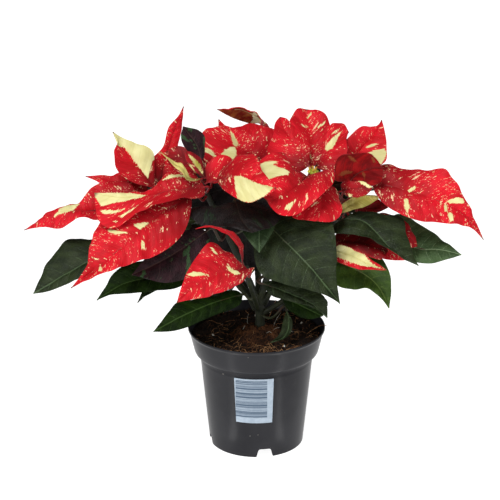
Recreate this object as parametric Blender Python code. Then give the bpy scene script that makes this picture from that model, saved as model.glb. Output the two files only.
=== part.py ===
"""Poinsettia in a 12 cm nursery pot: leaves, bracts, flower heads, stems, compost, pot and label.

The pot's axis is the Z axis and the surface it stands on is z = 0. The front faces -Y.
"""
import math

import bmesh
import bpy
import numpy as np

# Lengths are in millimetres and become metres when a mesh is made
METRES_PER_MM = 0.001
SEAT_GAP = 0.3

# Pot
POT_HEIGHT = 108.0
RIM_RADIUS = 60.0
RIM_FOOT_RADIUS = 54.6
RIM_FOOT_HEIGHT = 87.5
BODY_TOP_RADIUS = 49.3
BODY_TOP_HEIGHT = 79.0
FOOT_RADIUS = 41.3
POT_WALL = 1.2
BASE_LIFT = 7.0
BASE_PLATE = 1.6
CENTRE_PAD_RADIUS = 13.0
POT_SIDES = 40
NOTCH_HEIGHT = 8.0
NOTCH_TOP_WIDTH = 10.5
NOTCH_FOOT_WIDTH = 14.5
NOTCH_BEARING = 10.0
NOTCH_COUNT = 4
DRAIN_RADIUS = 3.6
DRAIN_RING_RADIUS = 27.0
DRAIN_COUNT = 8

# Inside of the pot from the centre of its floor to its rim, as (radius, height)
POT_INSIDE = (
    (CENTRE_PAD_RADIUS - 1.6, BASE_PLATE),
    (CENTRE_PAD_RADIUS + 3.2, BASE_LIFT + BASE_PLATE),
    (FOOT_RADIUS - POT_WALL + 0.9, BASE_LIFT + BASE_PLATE),
    (BODY_TOP_RADIUS - POT_WALL, BODY_TOP_HEIGHT),
    (BODY_TOP_RADIUS - POT_WALL + 1.2, BODY_TOP_HEIGHT + 3.8),
    (RIM_FOOT_RADIUS - POT_WALL, RIM_FOOT_HEIGHT + 1.0),
    (RIM_RADIUS - POT_WALL - 0.4, POT_HEIGHT - 2.0),
)

# Label on the front of the pot
LABEL_BEARING = -2.8
LABEL_WIDTH = 33.0
LABEL_LOW = 35.0
LABEL_HIGH = 78.5
LABEL_THICKNESS = 0.4

# Compost, the fibre plug of the cutting, and the stem that stands in them
SOIL_TOP = 100.0
SOIL_FLAT_RADIUS = 27.0
SOIL_UNEVEN = 1.3
PLUG_CENTRE = (0.0, -5.0)
PLUG_FOOT_RADIUS = 22.0
PLUG_TOP_RADIUS = 13.0
PLUG_HEIGHT = 7.0
STEM_HOLE_DEPTH = 13.3
MAIN_STEM_X = 3.0
MAIN_STEM_RADIUS = 4.8

# Leaves and bracts
LEAF_EDGE = 0.7
LEAF_RIB = 1.5
BRACT_EDGE = 0.65
BRACT_RIB = 1.2
NECK_HALF_WIDTH = 1.1
TIP_HALF_WIDTH = 0.45
FOLD_LIMIT = 1.1
FOLD_SLACK = 0.8
LEAST_HALF_WIDTH = 0.35
SHOOT_STATIONS = 9
SHOOT_SIDES = 6
MAIN_STEM_SIDES = 8
HEAD_PITCH = 1.7
HEAD_LOWEST = 2.0
HEAD_CORE = 0.7
LEAF_STALK_RADIUS = 1.3
BRACT_STALK_RADIUS = 0.95
LARGE_STATIONS = (0.0, 0.12, 0.28, 0.46, 0.64, 0.82, 1.0)
SMALL_STATIONS = (0.0, 0.16, 0.38, 0.62, 0.84, 1.0)

# Centre line of each shoot, foot to top, with the radius at its foot and at its top
SHOOTS = {
    "main": (((3, 0, 87), (3, 0, 100), (3, 0, 114), (2, 0, 138)), 4.8, 3.4),
    "left": (((2, 0, 126), (-19, 5, 148), (-52, 10, 186), (-78, 13, 212), (-83, 14, 221)), 3.0, 1.9),
    "mid": (((2, 0, 130), (-6, -3, 150), (-25, -9, 196), (-43, -13, 236), (-50, -15, 254)), 3.0, 2.1),
    "centre": (((3, 0, 133), (14, -3, 168), (34, -8, 212), (46, -10, 238), (48, -10, 249)), 3.0, 2.1),
    "right": (((3, 0, 128), (26, 5, 155), (60, 9, 192), (79, 9, 220), (82, 8, 230)), 3.0, 2.0),
    "rear": (((2, 0, 134), (1, 14, 160), (0, 36, 205), (1, 47, 235), (1, 48, 244)), 2.8, 2.0),
    "low_right": (((3, 0, 118), (28, 2, 134), (60, 4, 160), (75, 5, 178), (77, 5, 183)), 2.4, 1.7),
    "low_front": (((2, 0, 121), (-2, -14, 140), (-6, -36, 162), (-8, -47, 178), (-8, -50, 183)), 2.2, 1.6),
}

# Leafy shoots and bract heads of the far side, each fused from its own repeats
REAR_FOOT_RADIUS = 2.6
REAR_TOP_RADIUS = 2.0
LEAF_ARCH = 9.0
BRACT_ARCH = 7.0
REAR_SHOOTS = {
    "rear_left": ((-0.9, 5.0, 121), (-20, 24, 156), (-48, 50, 200), (-60, 62, 219)),
    "rear_right": ((5.3, 5.1, 123), (24, 28, 158), (46, 54, 204), (54, 66, 222)),
}

# Shoots that end in a cluster of flower cups in the middle of an open head
CYATHIA_SHOOTS = ("mid", "centre", "right", "rear")
PURPLE_LEAVES = ("leaf_mid_purple", "leaf_left_blotched", "leaf_centre_dark", "leaf_mid_back")
GOLD_BRACTS = ("bract_mid_young_gold", "bract_right_olive")

# Far side: each leaf by height on its shoot, bearing, reach, width and drop
REAR_LEAVES = {
    "rear_left": ((0.86, 150, 78, 50, 16), (0.78, 96, 84, 54, 22), (0.66, 178, 92, 56, 34),
                  (0.56, 122, 96, 58, 40), (0.44, 74, 62, 42, 30)),
    "rear_right": ((0.86, 32, 76, 50, 16), (0.78, 84, 82, 54, 22), (0.66, 4, 84, 54, 32),
                   (0.56, 58, 96, 58, 40), (0.78, -10, 62, 46, 14)),
}
# Far side: each bract by bearing, reach, width and drop
REAR_BRACTS = {
    "rear_left": ((168, 74, 40, 8), (128, 78, 42, 14), (92, 74, 40, 16), (52, 50, 30, 8), (205, 48, 28, 6)),
    "rear_right": ((16, 70, 38, 8), (54, 78, 42, 14), (90, 76, 40, 16), (128, 52, 30, 8), (-22, 56, 30, 14),
                   (180, 52, 30, 6)),
}


def blade(name, shoot, height, rib, left, right, small=False, cup=0.10, wave=0.05, waves=2.3, phase=0.0):
    """Control points of one blade: rib from root to tip, and the outline on each side of it."""
    return {"name": name, "shoot": shoot, "height": height, "rib": rib, "left": left, "right": right,
            "small": small, "cup": cup, "wave": wave, "waves": waves, "phase": phase}


# Every leaf and bract of the near side: its shoot, how far up it leaves it, and its control points.
# Left and right are seen from the root, with the upper face up.
BLADES = (
    blade("bract_left_split", "left", 0.90,
          rib=((-87, 10, 232), (-94, 13, 240), (-109, 20, 256), (-119, 27, 267), (-124, 31, 276)),
          left=((-109, 7, 240), (-120, 9, 250), (-122, 16, 263), (-120, 23, 270)),
          right=((-88, 15, 244), (-88, 20, 256), (-90, 22, 262), (-99, 25, 266), (-114, 30, 270))),
    blade("bract_left_spire", "left", 0.94,
          rib=((-84, 22, 229), (-79, 28, 250), (-72, 35, 272), (-63, 40, 296)),
          left=((-92, 18, 241), (-91, 23, 253), (-81, 31, 262), (-76, 36, 278), (-68, 39, 287)),
          right=((-70, 26, 245), (-68, 32, 262), (-65, 38, 275), (-64, 40, 286))),
    blade("bract_left_thin", "left", 0.84,
          rib=((-93, 12, 223), (-115, 19, 232), (-132, 23, 236), (-148, 26, 237)),
          left=((-102, 4, 222), (-123, 12, 229), (-136, 19, 234)),
          right=((-96, 20, 231), (-116, 26, 237), (-132, 26, 238)),
          small=True),
    blade("bract_left_far", "left", 0.78,
          rib=((-100, 0, 226), (-134, -5, 218), (-170, -10, 217), (-199, -10, 201)),
          left=((-123, -18, 211), (-149, -17, 215), (-169, -15, 204), (-182, -13, 205)),
          right=((-113, 12, 238), (-136, 9, 236), (-152, 0, 223), (-170, -6, 220), (-189, -9, 207))),
    blade("bract_mid_fold", "mid", 0.88,
          rib=((-44, -29, 247), (-76, -36, 246), (-108, -47, 244), (-135, -52, 250)),
          left=((-45, -36, 241), (-68, -49, 244), (-96, -59, 236), (-121, -63, 223), (-131, -60, 228)),
          right=((-58, -17, 259), (-77, -23, 256), (-88, -34, 247), (-113, -46, 248))),
    blade("bract_mid_broad", "mid", 0.84,
          rib=((-55, -31, 239), (-81, -46, 229), (-115, -72, 207), (-154, -90, 180)),
          left=((-56, -44, 227), (-62, -58, 216), (-82, -72, 203), (-107, -83, 198), (-130, -90, 192)),
          right=((-77, -28, 241), (-113, -40, 236), (-132, -52, 223), (-139, -68, 209), (-141, -80, 196))),
    blade("leaf_mid_purple", "mid", 0.96,
          rib=((-47, -7, 261), (-49, -4, 270), (-54, -4, 281), (-62, -9, 294)),
          left=((-54, -9, 268), (-63, -14, 281), (-63, -13, 289)),
          right=((-44, 1, 268), (-45, 5, 280), (-49, 2, 287), (-56, -4, 291)),
          small=True),
    blade("bract_mid_young_gold", "mid", 0.97,
          rib=((-48, -28, 254), (-54, -32, 255), (-59, -34, 257), (-62, -34, 265), (-69, -31, 268), (-81, -27, 278)),
          left=((-51, -31, 253), (-58, -36, 256), (-63, -37, 263), (-68, -34, 266), (-74, -31, 272)),
          right=((-51, -29, 254), (-56, -32, 257), (-60, -32, 265), (-63, -31, 269), (-68, -29, 269)),
          small=True),
    blade("bract_mid_young_red", "mid", 0.99,
          rib=((-44, -23, 254), (-51, -25, 265), (-60, -21, 276)),
          left=((-50, -26, 258), (-59, -26, 269)),
          right=((-45, -21, 264), (-53, -19, 274)),
          small=True),
    blade("bract_mid_back", "mid", 0.93,
          rib=((-38, -4, 247), (-52, -1, 254), (-65, 3, 262), (-77, 5, 267)),
          left=((-44, -3, 240), (-62, 1, 245), (-75, 3, 257)),
          right=((-41, 0, 256), (-55, 4, 268), (-69, 9, 270)),
          small=True),
    blade("bract_mid_right", "mid", 0.95,
          rib=((-42, -23, 249), (-36, -18, 254), (-28, -12, 258), (-19, -6, 260)),
          left=((-43, -14, 260), (-34, -7, 267), (-24, -4, 266)),
          right=((-35, -24, 249), (-27, -16, 251), (-21, -10, 256)),
          small=True),
    blade("bract_mid_cream", "mid", 0.90,
          rib=((-34, -30, 253), (-16, -43, 263), (1, -58, 261), (16, -66, 259)),
          left=((-28, -26, 264), (-14, -25, 274), (-1, -33, 276), (4, -50, 270)),
          right=((-29, -42, 251), (-17, -57, 247), (-6, -66, 247), (7, -69, 253))),
    blade("bract_rear_broad", "rear", 0.92,
          rib=((-1, 34, 248), (-13, 36, 260), (-23, 42, 271), (-33, 50, 281)),
          left=((-16, 22, 246), (-41, 17, 253), (-50, 23, 264), (-45, 34, 277), (-34, 44, 273)),
          right=((19, 38, 254), (23, 48, 267), (-4, 54, 276), (-21, 50, 272))),
    blade("bract_rear_curl", "rear", 0.96,
          rib=((7, 62, 249), (8, 66, 268), (-6, 62, 284), (-34, 47, 291)),
          left=((0, 57, 262), (4, 58, 278), (-9, 54, 290), (-23, 50, 291)),
          right=((18, 72, 254), (10, 74, 266), (-7, 68, 272), (-22, 56, 281))),
    blade("bract_centre_top", "centre", 0.94,
          rib=((47, -2, 255), (47, 18, 268), (45, 33, 281), (43, 44, 292)),
          left=((36, 3, 262), (26, 19, 277), (30, 33, 289), (36, 43, 293)),
          right=((57, 6, 261), (64, 22, 273), (61, 37, 287), (52, 44, 291))),
    blade("bract_centre_right", "centre", 0.97,
          rib=((51, -5, 256), (60, 5, 267), (70, 14, 276), (79, 20, 279)),
          left=((55, 6, 263), (60, 17, 278), (65, 25, 286), (74, 25, 285)),
          right=((61, -12, 255), (73, -8, 260), (77, 0, 270), (77, 11, 278))),
    blade("bract_centre_left", "centre", 0.96,
          rib=((44, -4, 257), (34, 7, 271), (24, 17, 283), (20, 23, 292)),
          left=((36, -5, 252), (18, -1, 255), (9, 4, 266), (14, 8, 281), (16, 17, 289)),
          right=((45, 5, 268), (35, 17, 280), (27, 25, 289))),
    blade("bract_centre_front", "centre", 0.90,
          rib=((43, -19, 253), (30, -37, 248), (17, -51, 245), (8, -57, 245)),
          left=((64, -17, 260), (65, -29, 252), (51, -46, 243), (33, -57, 234), (18, -59, 236)),
          right=((34, -10, 262), (17, -19, 268), (2, -32, 262), (0, -46, 253))),
    blade("bract_centre_low", "centre", 0.82,
          rib=((54, -10, 243), (55, -28, 232), (51, -42, 221)),
          left=((68, -8, 237), (71, -27, 222), (63, -37, 219)),
          right=((42, -24, 235), (30, -42, 226))),
    blade("bract_right_crook", "right", 0.96,
          rib=((78, 13, 246), (88, 15, 264), (100, 19, 277), (107, 21, 290)),
          left=((68, 5, 265), (81, 17, 278), (90, 21, 284), (103, 22, 284)),
          right=((93, 4, 251), (110, 5, 258), (111, 9, 267), (110, 16, 280))),
    blade("bract_right_shade", "right", 0.92,
          rib=((79, 0, 241), (88, -4, 252), (97, -6, 256), (107, -6, 256)),
          left=((86, -4, 240), (97, -6, 241), (105, -6, 247)),
          right=((67, -12, 249), (66, -17, 261), (69, -19, 270), (76, -18, 273), (94, -14, 271), (102, -9, 263))),
    blade("bract_right_broad", "right", 0.86,
          rib=((98, 4, 240), (120, -3, 237), (148, -8, 230), (175, -17, 219), (193, -25, 198)),
          left=((107, 13, 252), (130, 11, 249), (150, 7, 250), (161, 4, 251), (166, 0, 246), (174, -6, 236),
                (184, -15, 217)),
          right=((103, -8, 231), (116, -17, 222), (135, -23, 215), (159, -27, 214), (179, -27, 211))),
    blade("bract_right_small", "right", 0.95,
          rib=((73, -14, 238), (79, -20, 242), (87, -24, 244), (96, -25, 243)),
          left=((72, -14, 245), (84, -20, 249), (91, -22, 249)),
          right=((77, -22, 236), (86, -26, 237), (92, -27, 238)),
          small=True),
    blade("bract_right_olive", "right", 0.78,
          rib=((68, -12, 216), (81, -9, 224), (93, -5, 228), (107, 0, 228)),
          left=((74, -8, 225), (90, -1, 229)),
          right=((80, -13, 220), (93, -8, 222)),
          small=True),
    blade("bract_right_under", "right", 0.74,
          rib=((82, 12, 214), (98, 9, 215), (113, 5, 216)),
          left=((89, 16, 219), (105, 14, 220)),
          right=((87, 6, 211), (105, 5, 212)),
          small=True),
    blade("bract_lowright_cream", "low_right", 0.92,
          rib=((65, -17, 184), (79, -34, 187), (95, -49, 185), (109, -60, 184)),
          left=((71, -20, 191), (85, -33, 191), (98, -48, 188)),
          right=((66, -33, 183), (80, -46, 181), (95, -56, 183))),
    blade("bract_right_back", "right", 0.82,
          rib=((88, 0, 203), (106, -2, 204), (124, -6, 198), (138, -10, 186)),
          left=((98, 8, 209), (118, 6, 208), (132, 1, 200)),
          right=((97, -8, 197), (114, -11, 194), (130, -13, 186)),
          small=True),
    blade("bract_lowright_dark", "low_right", 0.96,
          rib=((66, -6, 191), (88, -12, 190), (112, -22, 186)),
          left=((77, 3, 192), (95, -1, 191), (109, -9, 188)),
          right=((72, -16, 184), (92, -22, 183), (106, -28, 181)),
          small=True),
    blade("bract_lowright_side", "low_right", 0.88,
          rib=((95, 28, 176), (118, 33, 169), (141, 38, 157)),
          left=((109, 36, 182), (132, 40, 179)),
          right=((107, 22, 164), (125, 28, 158)),
          small=True),
    blade("bract_front_low", "low_front", 0.92,
          rib=((-7, -60, 184), (-26, -76, 189), (-47, -91, 185), (-66, -102, 172)),
          left=((-2, -62, 187), (-13, -72, 178), (-39, -90, 173), (-54, -100, 174)),
          right=((-18, -60, 195), (-39, -64, 210), (-51, -80, 202), (-60, -94, 190))),
    blade("bract_front_edge", "low_front", 0.97,
          rib=((-12, -50, 187), (-15, -58, 205), (-24, -66, 221), (-37, -72, 228), (-51, -76, 227)),
          left=((-16, -63, 207), (-28, -74, 224), (-41, -79, 230)),
          right=((-12, -52, 204), (-22, -60, 219), (-37, -66, 225)),
          small=True),
    blade("leaf_left_far", "left", 0.45,
          rib=((-79, -6, 201), (-116, -13, 188), (-152, -19, 171), (-192, -22, 147)),
          left=((-108, -24, 177), (-138, -30, 170), (-161, -29, 160), (-177, -25, 151)),
          right=((-108, 4, 196), (-142, 5, 185), (-161, 2, 189), (-178, -8, 173))),
    blade("leaf_left_under", "left", 0.30,
          rib=((-43, -22, 171), (-83, -28, 166), (-113, -31, 160), (-137, -32, 145)),
          left=((-64, -36, 160), (-87, -38, 156), (-107, -38, 154), (-124, -36, 152)),
          right=((-57, -16, 176), (-93, -18, 177), (-119, -23, 170), (-128, -28, 158))),
    blade("leaf_left_blotched", "mid", 0.55,
          rib=((-43, -32, 208), (-65, -44, 196), (-86, -52, 186), (-105, -58, 179)),
          left=((-38, -40, 189), (-53, -52, 176), (-77, -58, 172), (-95, -60, 177)),
          right=((-60, -32, 215), (-82, -42, 202), (-97, -53, 188))),
    blade("leaf_left_hook", "left", 0.22,
          rib=((-56, 12, 151), (-83, 12, 143), (-96, 10, 136), (-104, 6, 127)),
          left=((-70, 2, 144), (-87, 2, 141)),
          right=((-70, 18, 153), (-91, 17, 147)),
          small=True),
    blade("leaf_front_left", "low_front", 0.26,
          rib=((-12, -14, 143), (-33, -34, 145), (-57, -54, 143), (-87, -72, 133)),
          left=((-15, -22, 137), (-36, -43, 136), (-57, -60, 133), (-73, -69, 132)),
          right=((-21, -10, 146), (-50, -32, 147), (-69, -49, 149), (-79, -62, 140))),
    blade("leaf_centre_dark", "mid", 0.64,
          rib=((-18, -18, 230), (-16, -34, 230), (-12, -52, 225), (-4, -66, 220)),
          left=((6, -24, 230), (21, -38, 226), (12, -56, 222)),
          right=((-40, -26, 227), (-59, -29, 225), (-46, -50, 221), (-22, -60, 222))),
    blade("leaf_mid_back", "centre", 0.66,
          rib=((20, -2, 226), (-4, 3, 236), (-34, 3, 232), (-61, -2, 221)),
          left=((13, -8, 216), (-12, -8, 216), (-48, -4, 217)),
          right=((8, 12, 241), (-24, 15, 246), (-52, 8, 235)),
          small=True),
    blade("leaf_centre_inner", "rear", 0.60,
          rib=((-8, 7, 207), (-9, 7, 188), (-9, 8, 168), (-7, 8, 150)),
          left=((10, 5, 200), (11, 5, 178), (0, 7, 160)),
          right=((-37, 4, 205), (-46, 4, 187), (-26, 7, 163)),
          small=True),
    blade("leaf_centre_tip", "mid", 0.55,
          rib=((2, -36, 220), (2, -52, 212), (2, -60, 200)),
          left=((15, -42, 218), (9, -55, 209)),
          right=((-12, -44, 216), (-6, -56, 208)),
          small=True),
    blade("leaf_centre_broad", "centre", 0.55,
          rib=((9, -24, 212), (23, -37, 202), (43, -52, 186), (60, -62, 168), (70, -66, 156)),
          left=((32, -21, 222), (61, -31, 219), (65, -50, 200), (64, -60, 180), (67, -64, 166)),
          right=((-2, -40, 198), (3, -55, 179), (23, -61, 172), (45, -65, 168), (60, -67, 163))),
    blade("leaf_centre_low", "centre", 0.25,
          rib=((5, -26, 158), (28, -38, 154), (45, -45, 148), (60, -49, 136)),
          left=((20, -26, 162), (41, -33, 160), (58, -42, 151)),
          right=((12, -34, 151), (34, -45, 148), (48, -48, 145))),
    blade("leaf_centre_under", "low_right", 0.30,
          rib=((22, -12, 140), (38, -17, 134), (57, -22, 126)),
          left=((38, -8, 143), (61, -15, 137)),
          right=((27, -18, 131), (43, -23, 124)),
          small=True),
    blade("leaf_soil_curl", "main", 0.60,
          rib=((26, -16, 128), (28, -24, 120), (24, -31, 111), (12, -35, 107)),
          left=((31, -24, 121), (27, -33, 112)),
          right=((23, -22, 122), (20, -32, 114)),
          small=True),
    blade("leaf_right_fold", "right", 0.60,
          rib=((72, -10, 210), (91, -14, 211), (103, -26, 203), (116, -36, 192), (137, -42, 181)),
          left=((84, -4, 216), (104, -3, 214), (122, -8, 212), (128, -21, 203), (133, -36, 187)),
          right=((63, -19, 204), (84, -27, 203), (98, -34, 202), (116, -41, 192))),
    blade("leaf_right_side", "right", 0.62,
          rib=((110, 16, 192), (138, 5, 179), (158, -5, 181), (176, -12, 179)),
          left=((123, 22, 204), (144, 15, 195), (161, 2, 187)),
          right=((127, -2, 172), (149, -9, 170), (164, -13, 175))),
    blade("leaf_right_low", "low_right", 0.60,
          rib=((67, -8, 171), (87, -18, 167), (104, -30, 157), (113, -40, 141)),
          left=((81, 0, 180), (102, -9, 180), (113, -22, 169), (115, -33, 156)),
          right=((68, -22, 156), (82, -30, 154), (97, -36, 157), (106, -39, 150))),
)


def clear_scene():
    for item in list(bpy.data.objects):
        bpy.data.objects.remove(item, do_unlink=True)


def material(name, colour, roughness, metallic=0.0):
    made = bpy.data.materials.new(name)
    made.use_nodes = True
    shader = made.node_tree.nodes["Principled BSDF"]
    shader.inputs["Base Color"].default_value = (*colour, 1.0)
    shader.inputs["Roughness"].default_value = roughness
    shader.inputs["Metallic"].default_value = metallic
    return made


def mesh_object(name, points, faces, surface, crease=40.0):
    """An object from points in millimetres; creases above the given angle stay sharp."""
    mesh = bpy.data.meshes.new(name)
    scaled = [tuple(float(c) * METRES_PER_MM for c in point) for point in points]
    mesh.from_pydata(scaled, [], [tuple(face) for face in faces])
    mesh.shade_smooth()
    mesh.set_sharp_from_angle(angle=math.radians(crease))
    mesh.materials.append(surface)
    made = bpy.data.objects.new(name, mesh)
    bpy.context.scene.collection.objects.link(made)
    return made


def settle(target, mode, cutters, solver="EXACT"):
    """Apply one Boolean of the cutters to the target and remove the cutters."""
    group = bpy.data.collections.new("operands")
    bpy.context.scene.collection.children.link(group)
    for cutter in cutters:
        group.objects.link(cutter)
    change = target.modifiers.new("join", "BOOLEAN")
    change.operation = mode
    change.operand_type = "COLLECTION"
    change.collection = group
    change.solver = solver
    bpy.context.view_layer.update()
    shape = target.evaluated_get(bpy.context.evaluated_depsgraph_get())
    joined = bpy.data.meshes.new_from_object(shape)
    target.modifiers.clear()
    target.data = joined
    for cutter in cutters:
        bpy.data.objects.remove(cutter, do_unlink=True)
    bpy.data.collections.remove(group)
    return target


def unit(vector):
    return vector / max(float(np.linalg.norm(vector)), 1e-9)


def smooth_curve(points, steps=16):
    """A smooth curve through all the points, as closely spaced positions."""
    knots = np.array(points, dtype=float)
    if len(knots) == 2:
        return np.linspace(knots[0], knots[1], steps + 1)
    spans = np.sqrt(np.linalg.norm(np.diff(knots, axis=0), axis=1))
    times = np.concatenate([[0.0], np.cumsum(spans)])
    slopes = np.zeros_like(knots)
    chords = np.diff(knots, axis=0) / spans[:, None]
    for k in range(1, len(knots) - 1):
        slopes[k] = (chords[k - 1] * spans[k] + chords[k] * spans[k - 1]) / (times[k + 1] - times[k - 1])
    slopes[0] = 1.5 * chords[0] - 0.5 * slopes[1]
    slopes[-1] = 1.5 * chords[-1] - 0.5 * slopes[-2]
    curve = []
    for k, span in enumerate(spans):
        for s in np.arange(steps) / steps:
            start = (2 * s**3 - 3 * s**2 + 1) * knots[k] + (s**3 - 2 * s**2 + s) * span * slopes[k]
            end = (3 * s**2 - 2 * s**3) * knots[k + 1] + (s**3 - s**2) * span * slopes[k + 1]
            curve.append(start + end)
    curve.append(knots[-1])
    return np.array(curve)


def along(points, fractions):
    """Positions at fractions of the length of the smooth curve through the points."""
    curve = smooth_curve(points)
    reach = np.concatenate([[0.0], np.cumsum(np.linalg.norm(np.diff(curve, axis=0), axis=1))])
    wanted = np.asarray(fractions) * reach[-1]
    return np.stack([np.interp(wanted, reach, curve[:, axis]) for axis in range(3)], axis=1)


def ring_solid(rings):
    """Faces of a closed loft: each ring is a top row, left to right, then a bottom row back."""
    count, around, _ = rings.shape
    columns = around // 2
    faces = []
    for i in range(count - 1):
        for j in range(around):
            after = (j + 1) % around
            a, b = i * around + j, i * around + after
            d, c = a + around, b + around
            on_top = j < columns - 1
            column = j if on_top else around - 2 - j
            leans_right = column < (columns - 1) / 2
            if on_top != leans_right and j not in (columns - 1, around - 1):
                faces += [(a, b, d), (b, c, d)]
            else:
                faces += [(a, b, c), (a, c, d)]
    last = (count - 1) * around
    for j in range(columns - 1):
        quad = (j, j + 1, around - 2 - j, around - 1 - j)
        faces.append(tuple(reversed(quad)))
        faces.append(tuple(last + k for k in quad))
    return rings.reshape(-1, 3), faces


def tube_rings(path, radii, sides=8):
    """Rings of a round tube whose frame turns as little as it can along the path."""
    path = np.asarray(path, dtype=float)
    heading = np.gradient(path, axis=0)
    side = unit(np.cross(heading[0], (0.31, -0.87, 0.39)))
    rings = []
    for point, forward, radius in zip(path, heading, radii):
        forward = unit(forward)
        side = unit(side - (side @ forward) * forward)
        up = np.cross(side, forward)
        angles = [math.pi * (1 - (2 * k + 1) / sides) for k in range(sides)]
        rings.append([point + radius * (math.cos(t) * side + math.sin(t) * up) for t in angles])
    return np.array(rings)


def shoot_rings(points, foot_radius, top_radius, sides):
    fractions = np.linspace(0.0, 1.0, SHOOT_STATIONS)
    radii = foot_radius + (top_radius - foot_radius) * fractions
    return tube_rings(along(points, fractions), radii, sides)


def tube(name, points, foot_radius, top_radius, surface, sides=SHOOT_SIDES):
    solid, faces = ring_solid(shoot_rings(points, foot_radius, top_radius, sides))
    return mesh_object(name, solid, faces, surface)


def crown(points, foot_radius, top_radius, sides=SHOOT_SIDES):
    """Seat of a flower head: over the middle of a shoot's end, just clear of its highest corner."""
    last = shoot_rings(points, foot_radius, top_radius, sides)[-1]
    middle = last.mean(axis=0)
    return middle[0], middle[1], float(last[:, 2].max()) + SEAT_GAP


def unfolded(reach, side, normal, hand):
    """Keep a half blade from closing on itself: some width to its own side and a limited fold."""
    sideways = max(hand * float(reach @ side), LEAST_HALF_WIDTH)
    lift = float(reach @ normal)
    lift = max(-FOLD_LIMIT * sideways, min(FOLD_LIMIT * sideways, lift))
    onward = reach - side * float(reach @ side) - normal * float(reach @ normal)
    slack = float(np.linalg.norm(onward))
    if slack > FOLD_SLACK * sideways:
        onward = onward * FOLD_SLACK * sideways / slack
    return side * hand * sideways + normal * lift + onward


def blade_grid(form, stations, across):
    """Middle surface of a blade: one row for each station, left edge to right edge."""
    root, tip = form["rib"][0], form["rib"][-1]
    rib = along(form["rib"], stations)
    left = along((root, *form["left"], tip), stations)
    right = along((root, *form["right"], tip), stations)
    heading = np.gradient(rib, axis=0)
    last = len(stations) - 1
    grid = np.zeros((len(stations), len(across), 3))
    for i, u in enumerate(stations):
        near = min(max(i, 1), last - 1)
        normal = unit(np.cross(right[near] - left[near], heading[near]))
        for j, v in enumerate(across):
            edge = left if v < 0 else right
            reach = edge[i] - rib[i]
            if i in (0, last):
                reach = unit(edge[near] - rib[near]) * (TIP_HALF_WIDTH if i else NECK_HALF_WIDTH)
            reach = unfolded(reach, unit(right[near] - left[near]), normal, -1.0 if v < 0 else 1.0)
            width = float(np.linalg.norm(reach))
            ease = min(1.0, 5 * u, 5 * (1 - u))
            swing = math.sin(2 * math.pi * form["waves"] * u + form["phase"] + (1.7 if v > 0 else 0.0))
            lift = form["cup"] * 2 * abs(v) * (1 - abs(v)) + form["wave"] * v * v * swing * ease
            grid[i, j] = rib[i] + reach * abs(v) + normal * width * lift
    return grid


def surface_normals(grid):
    along_rib = np.gradient(grid, axis=0)
    across_rib = np.gradient(grid, axis=1)
    normals = np.cross(across_rib, along_rib)
    return normals / np.maximum(np.linalg.norm(normals, axis=2, keepdims=True), 1e-9)


def stalk_path(form, start):
    """Stalk centre line from the shoot to the root of the blade, leaving the shoot squarely."""
    root = np.array(form["rib"][0], dtype=float)
    ahead = unit(np.array(form["rib"][1], dtype=float) - root)
    away, lead = start
    span = float(np.linalg.norm(root - away))
    return (away, away + lead * span * 0.33, root - ahead * span * 0.22, root)


def blade_solid(form, start):
    """A leaf or bract with its stalk, as one closed loft."""
    small = form["small"]
    stations = SMALL_STATIONS if small else LARGE_STATIONS
    across = (-1.0, 0.0, 1.0) if small else (-1.0, -0.5, 0.0, 0.5, 1.0)
    leafy = form["name"].startswith("leaf")
    edge, rib = (LEAF_EDGE, LEAF_RIB) if leafy else (BRACT_EDGE, BRACT_RIB)
    radius = (LEAF_STALK_RADIUS if leafy else BRACT_STALK_RADIUS) * (0.8 if small else 1.0)
    grid = blade_grid(form, stations, across)
    normals = surface_normals(grid)
    depth = np.array([[edge + (rib - edge) * max(0.0, 1 - abs(v) / 0.6) * (1 - 0.5 * u) for v in across]
                      for u in stations])[:, :, None] / 2
    top = grid + normals * depth
    bottom = grid - normals * depth
    blade = np.concatenate([top, bottom[:, ::-1]], axis=1)
    fractions = (0.0, 0.3, 0.65)
    path = along(stalk_path(form, start), (*fractions, 1.0))
    heading = np.gradient(path, axis=0)
    heading[0] = start[1]
    side = unit(grid[0, -1] - grid[0, 0])
    columns = len(across)
    turn = [math.radians(162 - 144 * k / (columns - 1)) for k in range(columns)]
    stalk = []
    for k in reversed(range(len(fractions))):
        forward = unit(heading[k])
        side = unit(side - (side @ forward) * forward)
        up = np.cross(side, forward)
        upper = [path[k] + radius * (math.cos(t) * side + math.sin(t) * up) for t in turn]
        lower = [path[k] + radius * (math.cos(t) * side - math.sin(t) * up) for t in reversed(turn)]
        stalk.insert(0, upper + lower)
    return ring_solid(np.concatenate([np.array(stalk), blade]))


def shoot_start(form):
    """Where a stalk leaves its shoot: a point just off the bark and the direction outwards."""
    points, foot, top = SHOOTS[form["shoot"]]
    height = form["height"]
    axis = along(points, np.linspace(0.0, 1.0, SHOOT_STATIONS))
    span = min(int(height * (SHOOT_STATIONS - 1)), SHOOT_STATIONS - 2)
    part = height * (SHOOT_STATIONS - 1) - span
    here = axis[span] + (axis[span + 1] - axis[span]) * part
    forward = unit(axis[span + 1] - axis[span])
    towards = np.array(form["rib"][0], dtype=float) - here
    lead = unit(towards - (towards @ forward) * forward)
    bark = foot + (top - foot) * height
    return here + lead * (bark + SEAT_GAP), lead


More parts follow.
